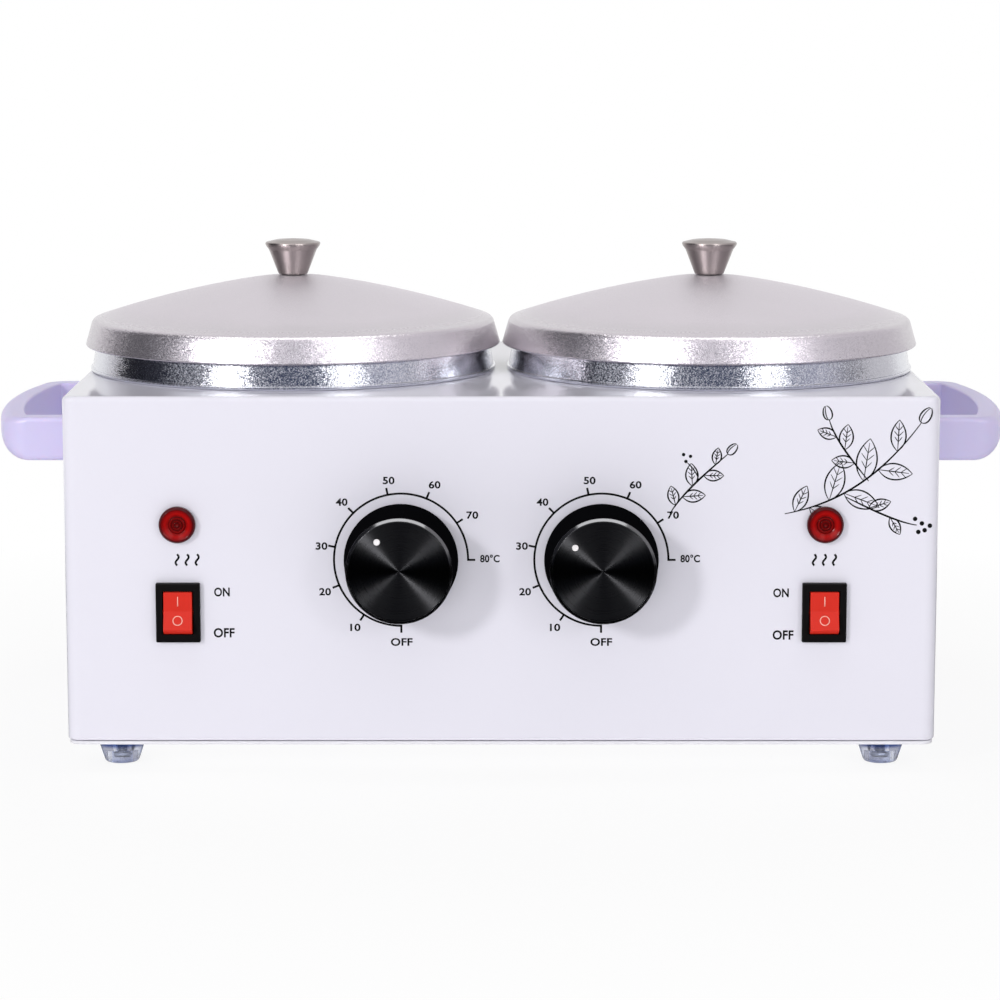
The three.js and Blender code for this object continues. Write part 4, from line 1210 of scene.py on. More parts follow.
@dataclass(frozen=True)
class VesselSizes:
    """Sizes of a well, its pot and its lid. Heights count from the housing's top.

    Attributes:
        well_radius: Outer radius of the well.
        wall: Thickness of the well.
        depth: Depth of the well.
        collar_foot: Radius of the collar at its foot.
        collar_top: Radius of the collar at its top.
        collar_height: Height of the collar.
        bead: Radius of the bead round the collar's foot.
        pot_radius: Outer radius of the pot.
        pot_wall: Thickness of the pot.
        pot_neck: How far under the roll's centre the pot starts to flare.
        roll_at: Radius at which the pot's roll has its centre.
        roll_z: Height of that centre.
        roll: Radius of the roll.
        roll_lean: How far the roll's two ends lie from its centre, inwards and up or down.
        lid_edge: Radius of the lid's edge.
        lid_edge_z: Height of that edge.
        shoulder: Radius of the lid's shoulder.
        shoulder_z: Height of the cone above the shoulder.
        slope: Mean fall of the cone for each millimetre outwards.
        crown: How far the cone bulges, half-way out.
        dome: Radius of the dome in the lid's middle.
        lid_wall: Thickness of the lid.
        lid_bend: Radius of the round on the shoulder.
        cone_end: How far inside the shoulder the cone ends.
    """

    well_radius: float = 70.4
    wall: float = 1.2
    depth: float = 84.0
    collar_foot: float = 74.6
    collar_top: float = 72.2
    collar_height: float = 15.24
    bead: float = 0.55
    pot_radius: float = 68.3
    pot_wall: float = 1.0
    pot_neck: float = 4.0
    roll_at: float = 71.6
    roll_z: float = 16.84
    roll: float = 1.3
    roll_lean: float = 0.92
    lid_edge: float = 76.95
    lid_edge_z: float = 9.3
    shoulder: float = 74.25
    shoulder_z: float = 18.7
    slope: float = 0.25
    crown: float = 1.2
    dome: float = 16.0
    lid_wall: float = 1.05
    lid_bend: float = 2.6
    cone_end: float = 4.0


@dataclass(frozen=True)
class LidKnobSizes:
    """Sizes of a lid's knob. Each pair is a radius and a height above the knob's foot.

    Attributes:
        socket: Depth of the screw's hole.
        foot: Radius of the foot.
        taper: Start of the taper.
        taper_end: End of the taper.
        flare: End of the flare under the rim.
        rim: Widest line of the rim.
        rim_top: Upper edge of the rim.
        cap: Bend of the cap.
        height: Height of the cap's middle.
    """

    socket: float = 8.0
    foot: float = 5.3
    taper: tuple[float, float] = (5.6, 0.6)
    taper_end: tuple[float, float] = (8.85, 9.0)
    flare: tuple[float, float] = (9.9, 10.4)
    rim: tuple[float, float] = (10.2, 11.2)
    rim_top: tuple[float, float] = (9.95, 11.75)
    cap: tuple[float, float] = (6.4, 12.6)
    height: float = 13.1


class Vessel:
    """One heated well with the pot that hangs in it and the lid on top."""

    def __init__(
        self, side: Side, layout: Layout, screws: Fasteners, sizes: VesselSizes = VesselSizes()
    ) -> None:
        """Keeps what the pieces are worked out from."""
        self.side, self.screws, self.sizes = side, screws, sizes
        self.at = layout.well(side)

    def well(self) -> None:
        """Spins the well with its polished collar and the bead round its foot."""
        s = self.sizes
        inner = s.well_radius - s.wall
        bead_top = SEAT + 2 * s.bead
        profile = rounded(
            [
                (0, -s.depth, 0), (s.well_radius, -s.depth, 6), (s.well_radius, CLOSE, 0.2),
                (s.collar_foot + s.bead, CLOSE, s.bead * 0.95),
                (s.collar_foot + s.bead, bead_top, s.bead * 0.95),
                (s.collar_foot - 0.1, bead_top, 0.15), (s.collar_top, s.collar_height, 0.4),
                (s.collar_top - s.wall, s.collar_height, 0.4),
                (s.collar_foot - s.wall, SEAT + s.wall, 0.3), (inner, SEAT + s.wall, 0.3),
                (inner, s.wall - s.depth, 4.8), (0, s.wall - s.depth, 0),
            ]
        )
        tag = self.side.tag
        shape = turned(profile, BIG_ROUND).placed(at=self.at)
        piece(f"spun_well_{tag}", shape, POLISHED, HOUSING, [f"heating_well_{tag}"])

    def pot(self) -> None:
        """Draws the lift-out pot, which hangs by its rolled rim."""
        s, tag = self.sizes, self.side.tag
        inner = s.pot_radius - s.pot_wall
        base = SEAT + s.wall - s.depth
        neck = s.roll_z - s.pot_neck
        lip, lean = s.roll_at - s.roll_lean, s.roll_lean
        wall = [(s.pot_radius, base, 8), (s.pot_radius, neck, 2)]
        outside = rounded([(0, base, 0), *wall, (lip, s.roll_z - lean, 0)])
        roll = arc(s.roll_at, s.roll_z, s.roll, -135, 135, 3 * ARC_STEPS)
        floor = base + s.pot_wall
        inside = rounded([(lip, s.roll_z + lean, 0), (inner, neck + 1, 2), (inner, floor, 7), (0, floor, 0)])
        profile = np.concatenate([outside[:-1], roll, inside[1:]])
        shape = turned(profile, BIG_ROUND).placed(at=self.at)
        piece(f"drawn_pot_{tag}", shape, DRAWN, f"pot_{tag}", [f"inner_pot_{tag}"])

    def lid_top(self, radius: np.ndarray | float) -> np.ndarray | float:
        """Height of the lid's outer face: a crowned cone that rounds off in a parabola.

        Args:
            radius: Distance from the axis.

        Returns:
            The height above the housing's top.
        """
        s = self.sizes
        reach = s.shoulder - s.dome
        out = s.shoulder - np.maximum(radius, s.dome)
        cone = s.shoulder_z + s.slope * out + 4 * s.crown * out / reach * (1 - out / reach)
        inner_slope = s.slope - 4 * s.crown / reach
        return cone + inner_slope * np.maximum(s.dome**2 - np.square(radius), 0) / (2 * s.dome)

    def lid(self) -> None:
        """Spins the frosted lid: dome, cone, round shoulder and flared skirt."""
        s, tag = self.sizes, self.side.tag
        dome, cone = (self.screws.bore, s.dome), (s.dome, s.shoulder - s.cone_end)
        radii = np.concatenate([np.linspace(*dome, 9), np.linspace(*cone, 14)[1:]])
        top = np.column_stack([radii, self.lid_top(radii)])
        skirt_in = s.lid_edge - s.lid_wall
        outer = rounded(
            [
                (*top[-1], 0), (s.shoulder, s.shoulder_z, s.lid_bend),
                (s.lid_edge, s.lid_edge_z, 0.5), (skirt_in, s.lid_edge_z, 0.45),
                (s.shoulder - s.lid_wall, s.shoulder_z - s.lid_wall - 0.1, 0.6),
                (top[-1][0], top[-1][1] - s.lid_wall, 0),
            ]
        )
        under = top[:-1][::-1] - (0, s.lid_wall)
        profile = np.concatenate([top[:-1], outer, under])
        shape = turned(profile, BIG_ROUND, ring=True).placed(at=self.at)
        piece(f"spun_lid_{tag}", shape, FROSTED, f"lid_{tag}", [f"lid_{tag}"])

    def knob(self) -> None:
        """Turns the lid's knob: round foot, taper, flared rim and domed cap."""
        s, tag, hole = LidKnobSizes(), self.side.tag, self.screws.bore
        profile = rounded(
            [
                (0, s.socket, 0), (hole, s.socket, 0), (hole, 0, 0.2), (s.foot, 0, 0.2),
                (*s.taper, 0.25), (*s.taper_end, 0.3), (*s.flare, 0.3), (*s.rim, 0.35),
                (*s.rim_top, 0.35), (*s.cap, 3), (0, s.height, 0),
            ]
        )
        low = span(f"lid_knob_{tag}")[0][2]
        shape = turned(profile, ROUND).placed(at=(self.at[0], self.at[1], low))
        piece(f"turned_knob_{tag}", shape, TURNED_STEEL, f"lid_{tag}", [f"lid_knob_{tag}"])

    def build(self, frame: dict) -> None:
        """Makes every piece of the vessel.
        """
        self.well()
        self.pot()
        self.lid()
        self.knob()
        self.screws.add(f"lid_screw_{self.side.tag}", Facing.UP, f"lid_{self.side.tag}")
        keep(frame, f"heater_band_{self.side.tag}", MICA)
        keep(frame, f"well_stand_{self.side.tag}", ZINC)


@dataclass(frozen=True)
class HandleSizes:
    """Sizes of a loop handle.

    Attributes:
        length: Length over the two arms.
        reach: How far it stands out from the wall.
        width: Width of the section.
        height: Height of the section.
        bow: Radius of the bar's bow.
        turn: Radius of the centre line between arm and bar.
        arm_rounds: Radii of the section's lower inner, lower outer, upper outer and upper inner
            corner where the handle meets the wall.
        bar_rounds: The same in the middle of the bar.
        screw_reach: How deep the screws go in.
    """

    length: float = 112.0
    reach: float = 31.9
    width: float = 8.6
    height: float = 15.6
    bow: float = 215.0
    turn: float = 5.7
    arm_rounds: tuple[float, float, float, float] = (0.5, 1.8, 1.6, 0.8)
    bar_rounds: tuple[float, float, float, float] = (0.5, 8.0, 3.6, 0.8)
    screw_reach: float = 14.3


class Handle:
    """One lavender loop handle with its two screws."""

    def __init__(
        self, side: Side, layout: Layout, screws: Fasteners, sizes: HandleSizes = HandleSizes()
    ) -> None:
        """Keeps what the pieces are worked out from."""
        self.side, self.layout, self.screws, self.sizes = side, layout, screws, sizes

    def section(self, bar: float) -> np.ndarray:
        """The handle's section: outward from its centre line, and up from its underside.

        Args:
            bar: How far it has turned from arm to bar, from 0 to 1.

        Returns:
            Points of its outline, always in the same number.
        """
        s = self.sizes
        outline = []
        for i, radii in enumerate(zip(s.arm_rounds, s.bar_rounds)):
            radius = radii[0] + (radii[1] - radii[0]) * bar
            across = (-1, 1, 1, -1)[i]
            x, y = across * (s.width / 2 - radius), radius if i < 2 else s.height - radius
            start = math.radians(180 + 90 * i)
            bend = arc(x, y, radius, 180 + 90 * i, 270 + 90 * i, ARC_STEPS)
            before = np.array([math.sin(start), -math.cos(start)]) * SUPPORT
            after = np.array([math.cos(start), math.sin(start)]) * -SUPPORT
            outline += [bend[:1] + before, bend, bend[-1:] + after]
        return np.concatenate(outline)

    def stations(self) -> np.ndarray:
        """The centre line as arcs in plan.

        Returns:
            For each station the arc's centre, its radius and the heading along it.
        """
        s = self.sizes
        arm = (s.length - s.width) / 2 - s.turn
        bar = s.reach - s.width / 2
        bend = math.asin(arm / (s.bow - s.turn))
        turn_x = bar - s.bow + (s.bow - s.turn) * math.cos(bend)
        quarter = math.pi / 2

        def sweep(x: float, y: float, radius: float, start: float, end: float, steps: int) -> np.ndarray:
            """Stations along one arc, without its first."""
            heading = np.linspace(start, end, steps + 1)[1:]
            return np.column_stack([np.full(steps, x), np.full(steps, y), np.full(steps, radius), heading])

        return np.concatenate(
            [
                [(SEAT, -arm, s.turn, 0), (SEAT + SUPPORT, -arm, s.turn, 0)],
                [(turn_x - SUPPORT, -arm, s.turn, 0), (turn_x, -arm, s.turn, 0)],
                sweep(turn_x, -arm, s.turn, 0, quarter - bend, 14),
                sweep(bar - s.bow, 0, s.bow, quarter - bend, quarter + bend, 16),
                sweep(turn_x, arm, s.turn, quarter + bend, 2 * quarter, 14),
                [(turn_x - SUPPORT, arm, s.turn, 2 * quarter)],
                [(SEAT + SUPPORT, arm, s.turn, 2 * quarter), (SEAT, arm, s.turn, 2 * quarter)],
            ]
        )

    def build(self) -> None:
        """Sweeps the handle, bores its screw holes and adds the screws."""
        s, tag = self.sizes, self.side.tag
        x, y, radius, heading = (column[:, None] for column in self.stations().T)
        section = np.stack([self.section(math.sin(turn)) for turn in heading[:, 0]])
        out = radius + section[:, :, 0]
        rings = np.stack([x + out * np.sin(heading), y - out * np.cos(heading), section[:, :, 1]], axis=-1)
        arm = middle(f"handle_screw_rear_{tag}")[1] - self.layout.centre_y
        bore = rod(self.screws.bore, -OVERRUN, s.screw_reach)
        bores = [bore.placed(Facing.RIGHT, (0, end * arm, s.height / 2)) for end in (-1, 1)]
        low = span(f"handle_{tag}")[0][2]
        facing = Facing.UP if self.side is Side.RIGHT else Facing.HALF_TURNED
        at = (self.side.value * self.layout.high[0], self.layout.centre_y, low)
        shape = carved(loft(rings), *bores).placed(facing, at)
        piece(f"moulded_handle_{tag}", shape, LAVENDER, HOUSING, [f"handle_{tag}"])
        way = Facing.RIGHT if self.side is Side.RIGHT else Facing.LEFT
        for end in ENDS:
            self.screws.add(f"handle_screw_{end}_{tag}", way)


@dataclass(frozen=True)
class FootSizes:
    """Sizes of a foot. Heights count from the sole.

    Attributes:
        counterbore: Radius of the counterbore.
        seat: Height at which the screw's head sits.
        sole: Radius of the sole.
        taper: Radius and height of the taper's end.
        top: Radius of the top.
        height: Height of the foot.
    """

    counterbore: float = 3.7
    seat: float = 4.6
    sole: float = 5.9
    taper: tuple[float, float] = (8.9, 9.2)
    top: float = 9.0
    height: float = 10.0


class Foot:
    """One translucent foot with the screw in its counterbore."""

    def __init__(self, corner: str, screws: Fasteners, sizes: FootSizes = FootSizes()) -> None:
        """Keeps which corner it is at."""
        self.corner, self.screws, self.sizes = corner, screws, sizes

    def build(self) -> None:
        """Turns the foot: sole ring, straight taper and the bore for its screw."""
        s, bore = self.sizes, self.screws.bore
        profile = rounded(
            [
                (s.counterbore, 0, 0.3), (s.sole, 0, 0.9), (*s.taper, 0.3),
                (s.top, s.height, 0.2), (bore, s.height, 0.1), (bore, s.seat, 0.1),
                (s.counterbore, s.seat, 0.1),
            ],
            closed=True,
        )
        x, y, _ = middle(f"foot_{self.corner}")
        shape = turned(profile, ROUND, ring=True).placed(at=(x, y, 0))
        piece(f"vinyl_foot_{self.corner}", shape, CLEAR_VINYL, HOUSING, [f"foot_{self.corner}"])
        self.screws.add(f"foot_screw_{self.corner}", Facing.UP)


@dataclass(frozen=True)
class DialSizes:
    """Sizes of a dial knob and its printed scale.

    Attributes:
        gap: From the panel to the knob.
        length: Length of the knob.
        base: Radius at the panel.
        face: Radius at the face.
        hollow: Radius and depth of the hollow behind the skirt.
        bore: Radius of the spindle's bore.
        bore_end: How far under the face the bore ends.
        recess: Depth of the recess that the face's disc lies in.
        cut: Width of the cut edge round the face, with the lip.
        lip: Width of the skirt's lip round the cut edge.
        lip_depth: How far that lip lies under the face.
        pointer: Direction of the pointer dot, degrees up from three o'clock, for each side.
        dot_at: Distance of the dot from the axis.
        dot: Radius of the dot.
        dot_depth: Depth of the dimple that the dot fills.
        scale: Radius of the printed arc.
        line: Width of the printed lines.
        tick: Length of a tick.
        figures: Height of the figures.
    """

    gap: float = 1.0
    length: float = 23.0
    base: float = 20.0
    face: float = 18.5
    hollow: tuple[float, float] = (17.6, 6.0)
    bore: float = 3.4
    bore_end: float = 3.0
    recess: float = 1.8
    cut: float = 1.15
    lip: float = 0.6
    lip_depth: float = 1.2
    pointer: tuple[float, float] = (126.7, 139.4)
    dot_at: float = 12.7
    dot: float = 1.2
    dot_depth: float = 0.5
    scale: float = 23.4
    line: float = 0.72
    tick: float = 2.5
    figures: float = 2.65


class Panel:
    """What is printed on the front: thin films of ink that lie on the enamel.

    Places count from the middle of the switch or the lamp that they belong to.
    """

    FILM = 0.03
    INK = 0.024
    ON_AT = {Side.LEFT: (15.3, 7.1), Side.RIGHT: (-15.1, 6.8)}
    OFF_AT = {Side.LEFT: (15.9, -7.4), Side.RIGHT: (-14.2, -8.2)}
    ON_SIZE, OFF_SIZE = (5.45, 3.2), (7.3, 3.4)
    HEAT_AT = {Side.LEFT: (3.2, -12.6), Side.RIGHT: (0.0, -12.6)}
    WAVES = (-3.5, 0, 3.5)
    WAVE_RISE, WAVE_SWING, WAVE_STROKE = 2.0, 0.55, 0.72

    def __init__(self, layout: Layout) -> None:
        """Keeps where the panel is."""
        self.layout = layout

    def print(self, name: str, shapes: Sequence[Shape], at: Sequence[float]) -> None:
        """Lays flat shapes on the panel as one film.

        Args:
            name: Name of the piece.
            shapes: Flat shapes, with X to the right and Y up.
            at: Place of their origin: X and Z.
        """
        flat = merged(*shapes)
        spot = (at[0], self.layout.front - self.FILM, at[1])
        filmed(piece(name, flat.placed(Facing.FRONT, spot), BLACK_INK, HOUSING), self.INK)

    def build(self) -> None:
        """Prints the words beside the switches, the heat signs and the sprigs."""
        for side in Side:
            x, _, z = middle(f"switch_body_{side.tag}")
            words = [("ON", self.ON_SIZE, self.ON_AT[side]), ("OFF", self.OFF_SIZE, self.OFF_AT[side])]
            self.print(f"switch_words_{side.tag}", [lettering(*word) for word in words], (x, z))
            x, _, z = middle(f"lamp_lens_{side.tag}")
            across, up = self.HEAT_AT[side]
            self.print(f"heat_sign_{side.tag}", self.heat_sign(), (x + across, z + up))
        self.print("leaf_sprigs", Sprigs().shapes(), (self.layout.high[0], self.layout.top))

    def heat_sign(self) -> list[Shape]:
        """Three rising waves, a common sign for heat, each one turn of a sine.

        Returns:
            One flat shape for each wave.
        """
        rise = np.linspace(-self.WAVE_RISE, self.WAVE_RISE, 25)
        wave = self.WAVE_SWING * np.sin(rise / self.WAVE_RISE * math.pi)
        return [ribbon(np.column_stack([wave + x, rise]), self.WAVE_STROKE) for x in self.WAVES]


class Dial:
    """A dial knob with its pointer dot, its printed scale and the thermostat behind it."""

    MARKS, SWEEP = 9, 270  # OFF, then 10 to 80, over three quarters of a turn
    # Each figure's centre and width, and the two longer words with their centre and size.
    FIGURES = {
        "10": ((-16.1, -24), 3.6),
        "20": ((-26.6, -11.3), 4.1),
        "30": ((-27.7, 4.9), 4.1),
        "40": ((-20.6, 20.4), 4.1),
        "50": ((-4.2, 28), 4.1),
        "60": ((11.8, 26.5), 4.1),
        "70": ((24.9, 15.8), 4.1),
    }
    WORDS = {"OFF": ((0.1, -29.2), (7.6, 2.8)), "80°C": ((31.0, 0.5), (6.8, 2.8))}

    def __init__(
        self, side: Side, layout: Layout, panel: Panel, screws: Fasteners, sizes: DialSizes = DialSizes()
    ) -> None:
        """Keeps what the pieces are worked out from."""
        self.side, self.layout, self.panel, self.screws, self.sizes = side, layout, panel, screws, sizes
        self.at = layout.on_panel(f"thermostat_{side.tag}")

    def knob(self) -> None:
        """Turns the knob, cuts its bore and sets the pointer dot."""
        s, tag = self.sizes, self.side.tag
        hollow, depth = s.hollow
        profile = rounded(
            [
                (0, depth, 0), (hollow, depth, 0.5), (hollow, 0, 0.3), (s.base, 0, 0.35),
                (s.face, s.length - s.lip_depth, 0.1),
                (s.face - s.lip, s.length - s.lip_depth - 0.05, 0.1),
                (s.face - s.lip, s.length - s.recess, 0), (0, s.length - s.recess, 0),
            ]
        )
        disc, back = s.face - s.cut - 0.1, s.length - s.recess + CLOSE
        cap = rounded([(0, back, 0), (disc, back, 0.1), (disc, s.length, 0.1), (0, s.length, 0)])
        edge = rounded(
            [
                (s.face - s.cut, back, 0.1), (s.face - s.lip - CLOSE, back, 0.1),
                (s.face - 0.1, s.length - s.lip_depth + CLOSE, 0.15),
                (s.face - s.cut, s.length - CLOSE, 0.05),
            ],
            closed=True,
        )
        bore = rod(s.bore, -OVERRUN, s.length - s.bore_end)
        spot = (*direction(s.pointer[0 if self.side is Side.LEFT else 1]) * s.dot_at, 0)
        dimple = rod(s.dot, s.length - s.dot_depth, s.length + OVERRUN).placed(at=spot)
        at = self.at - (0, s.gap, 0)
        body = carved(turned(profile, ROUND), bore).placed(Facing.FRONT, at)
        piece(f"moulded_dial_{tag}", body, DYED_BLACK, f"knob_{tag}", [f"dial_knob_{tag}"])
        face = carved(turned(cap, BIG_ROUND), dimple).placed(Facing.FRONT, at)
        piece(f"turned_dial_face_{tag}", face, ANODISED, f"knob_{tag}")
        ring = turned(edge, BIG_ROUND, ring=True).placed(Facing.FRONT, at)
        piece(f"cut_dial_edge_{tag}", ring, CUT_EDGE, f"knob_{tag}")
        wide, deep = s.dot - CLOSE, CLOSE - s.dot_depth
        fill = rounded([(0, deep, 0), (wide, deep, 0.1), (wide, 0, 0.2), (0, CLOSE, 0)])
        dot = turned(fill, SMALL_ROUND).placed(at=(*spot[:2], s.length - CLOSE)).placed(Facing.FRONT, at)
        piece(f"pointer_dot_{tag}", dot, WHITE_INK, f"knob_{tag}")

    def scale(self) -> None:
        """Prints the arc, its ticks and its figures."""
        s = self.sizes
        strokes = [ribbon(arc(0, 0, s.scale, self.SWEEP, 0, 96), s.line)]
        for angle in np.linspace(self.SWEEP, 0, self.MARKS):
            way = direction(angle)
            ends = [way * (s.scale - s.line / 2), way * (s.scale + s.tick)]
            strokes.append(ribbon(np.stack(ends), s.line))
        strokes += [lettering(words, (width, s.figures), at) for words, (at, width) in self.FIGURES.items()]
        strokes += [lettering(words, size, at) for words, (at, size) in self.WORDS.items()]
        self.panel.print(f"dial_scale_{self.side.tag}", strokes, (self.at[0], self.at[2]))

    def build(self, frame: dict) -> None:
        """Makes every piece of the dial.
        """
        self.knob()
        self.scale()
        tag = self.side.tag
        keep(frame, f"thermostat_{tag}", PHENOLIC)
        keep(frame, f"spindle_{tag}", ZINC)
        keep(frame, f"sensor_{tag}", COPPER)
        for end in "ab":
            self.screws.add(f"thermostat_screw_{tag}_{end}", Facing.BACK)


@dataclass(frozen=True)
class LampSizes:
    """Sizes of a pilot lamp's lens. Heights count from the panel.

    Attributes:
        side: Radius of the lens and height of its side.
        crest: Radius and height of the crest round the dish.
        dish: Radius and height of the dish's floor.
        rings: Radius, height and round of each corner of the rings, from the outside in.
        middle: Height of the middle.
    """

    side: tuple[float, float] = (6.4, 2.2)
    crest: tuple[float, float] = (5.6, 3.4)
    dish: tuple[float, float] = (3.1, 1.9)
    rings: tuple[tuple[float, float, float], ...] = (
        (2.8, 2.5, 0.12), (2.3, 2.55, 0.1), (2.1, 2.1, 0.1), (1.8, 2.6, 0.12), (1.4, 2.6, 0.1),
        (1.2, 2.15, 0.1), (0.9, 2.65, 0.12), (0.5, 2.6, 0.1),
    )
    middle: float = 2.3


class Lamp:
    """A pilot lamp's ringed lens over its holder."""

    def __init__(self, side: Side, layout: Layout, sizes: LampSizes = LampSizes()) -> None:
        """Keeps where the lamp is."""
        self.side, self.at, self.sizes = side, layout.on_panel(f"lamp_lens_{side.tag}"), sizes

    def build(self, frame: dict) -> None:
        """Moulds the lens with its rings.
        """
        s, tag = self.sizes, self.side.tag
        side = [(0, SEAT, 0), (s.side[0], SEAT, 0.2), (*s.side, 0.7)]
        profile = rounded([*side, (*s.crest, 0.4), (*s.dish, 0.2), *s.rings, (0, s.middle, 0)], steps=4)
        shape = turned(profile, ROUND).placed(Facing.FRONT, self.at)
        piece(f"ringed_lens_{tag}", shape, RED_LENS, HOUSING, [f"lamp_lens_{tag}"])
        keep(frame, f"lamp_holder_{tag}", BLACK_NYLON)


@dataclass(frozen=True)
class SwitchSizes:
    """Sizes of a rocker switch.

    Attributes:
        bezel: Width, height and thickness of the bezel.
        neck: Width, height and depth of the body behind the panel.
        window: Width and height of the opening.
        pivot: Depth of the pivot behind the bezel's face.
        gap: Gap between the rocker's ends and the window.
        side_gap: Gap between the rocker's sides and the window.
        tilt: Half of the rocker's travel, in degrees.
        proud: How far the pressed half stands in front of the bezel.
        tail: How far the rocker reaches behind its pivot.
        axle: Radius of the rocker's axle stubs.
        axle_hole: Radius of the hole for them.
        axle_reach: How far they stand out at each side.
        blade: Width, thickness and length of a blade behind the body.
        blade_at: Distance of a blade from the middle.
        mark: Stroke of the two marks.
        bar: Start and end of the bar above the rocker's middle.
        ring: Place and radius of the ring below it.
    """

    bezel: tuple[float, float, float] = (15.5, 21.0, 1.9)
    neck: tuple[float, float, float] = (12.9, 18.9, 12.5)
    window: tuple[float, float] = (10.9, 15.3)
    pivot: float = 2.6
    gap: float = 0.25
    side_gap: float = 0.45
    tilt: float = 10.5
    proud: float = 0.4
    tail: float = 3.6
    axle: float = 1.1
    axle_hole: float = 1.4
    axle_reach: float = 0.8
    blade: tuple[float, float, float] = (4.8, 0.8, 6.0)
    blade_at: float = 3.5
    mark: float = 0.34
    bar: tuple[float, float] = (1.9, 5.3)
    ring: tuple[float, float] = (-3.2, 1.6)


class Switch:
    """A rocker switch: bezel, rocker and the marks on the rocker."""

    def __init__(self, side: Side, layout: Layout, sizes: SwitchSizes = SwitchSizes()) -> None:
        """Keeps what the pieces are worked out from."""
        self.side, self.sizes, self.face = side, sizes, SEAT + sizes.bezel[2]
        self.at = layout.on_panel(f"switch_body_{side.tag}")

    def bezel(self) -> None:
        """Moulds the body with its bezel, window and blades."""
        s, tag = self.sizes, self.side.tag
        edge = rounded([(0, SEAT, 0), (0, self.face, 0.5), (1, self.face, 0)])
        neck = box_outline(*s.neck[:2], 0.4)
        rings = [level(neck, SEAT - s.neck[2]), level(neck, SEAT)]
        for inset, z in edge:
            outline = box_outline(s.bezel[0] - 2 * inset, s.bezel[1] - 2 * inset, 0.5 - 0.2 * inset)
            rings.append(level(outline, z))
        reach = math.hypot(s.window[1] / 2, s.pivot)
        pivot = self.face - s.pivot
        pocket = rod(reach, -s.window[0] / 2, s.window[0] / 2, ROUND).placed(Facing.RIGHT, (0, 0, pivot))
        mouth = block(*s.window, pivot, self.face + OVERRUN)
        axle = rod(s.axle_hole, -s.neck[0], s.neck[0]).placed(Facing.RIGHT, (0, 0, pivot))
        end = SEAT - s.neck[2]
        blade = block(*s.blade[:2], end - s.blade[2], end)
        blades = [blade.placed(at=(0, row * s.blade_at, 0)) for row in (-1, 1)]
        shape = merged(carved(loft(np.stack(rings)), pocket, mouth, axle), *blades)
        shape = shape.placed(Facing.FRONT, self.at)
        piece(f"switch_bezel_{tag}", shape, BLACK_NYLON, HOUSING, [f"switch_body_{tag}"])

    def tipped(self, shape: Shape) -> Shape:
        """Puts a shape that is modelled about the pivot into the panel with the top half pressed.

        Args:
            shape: A shape with Z out of the panel.

        Returns:
            The shape in place.
        """
        cos, sin = direction(-self.sizes.tilt)
        turn = np.array([[1, 0, 0], [0, cos, sin], [0, -sin, cos]])
        pivot = self.at - (0, self.face - self.sizes.pivot, 0)
        return shape.over(shape.placed(Facing.FRONT).points @ turn + pivot)

    def rocker(self) -> None:
        """Moulds the rocker: two flats that meet in a valley, and ends that are arcs about the pivot."""
        s, tag = self.sizes, self.side.tag
        tilt = math.radians(s.tilt)
        radius = math.hypot(s.window[1] / 2, s.pivot) - s.gap
        valley = (s.pivot + s.proud) / math.cos(tilt)
        tip = math.degrees(math.asin(valley * math.cos(tilt) / radius) + tilt)
        tail = -math.degrees(math.asin(s.tail / radius))
        end = arc(0, 0, radius, tail, tip, 14)
        hollow = rounded([(end[-1][0], end[-1][1], 0), (0, valley, 1.6), (-end[-1][0], end[-1][1], 0)])
        outline = np.concatenate([end[:-1], hollow, (end * (-1, 1))[::-1][1:]])
        width = s.window[0] / 2 - s.side_gap
        # The outline lies in the plane of height and depth, and stands along X.
        body = prism(outline, -width, width)
        body = body.over(body.points[:, [2, 0, 1]])
        near, far = width + 0.02, width + s.axle_reach
        axle = [rod(s.axle, *ends).placed(Facing.RIGHT) for ends in ((-far, -near), (near, far))]
        shape = self.tipped(merged(body, *axle))
        piece(f"moulded_rocker_{tag}", shape, RED_NYLON, f"rocker_{tag}", [f"rocker_{tag}"], bevel=0.25)
        self.marks(valley, tilt)

    def marks(self, valley: float, tilt: float) -> None:
        """Prints a bar on the pressed half and a ring on the other.

        Args:
            valley: Depth of the rocker's face at its middle.
            tilt: Angle of each flat, in radians.
        """
        s, tag, film = self.sizes, self.side.tag, 0.02
        bar = ribbon(np.array([(0, end) for end in s.bar]), s.mark)
        ring = ribbon(arc(0, *s.ring, 0, 350, 35), s.mark * 0.9, closed=True)
        flat = merged(bar, ring)
        x, along = flat.points[:, 0], flat.points[:, 1]
        lift = valley + np.abs(along) * math.sin(tilt) + film
        shape = self.tipped(flat.over(np.column_stack([x, along * math.cos(tilt), lift])))
        filmed(piece(f"rocker_marks_{tag}", shape, PINK_FOIL, f"rocker_{tag}"), film)

    def build(self) -> None:
        """Makes every piece of the switch."""
        self.bezel()
        self.rocker()


# Sprigs


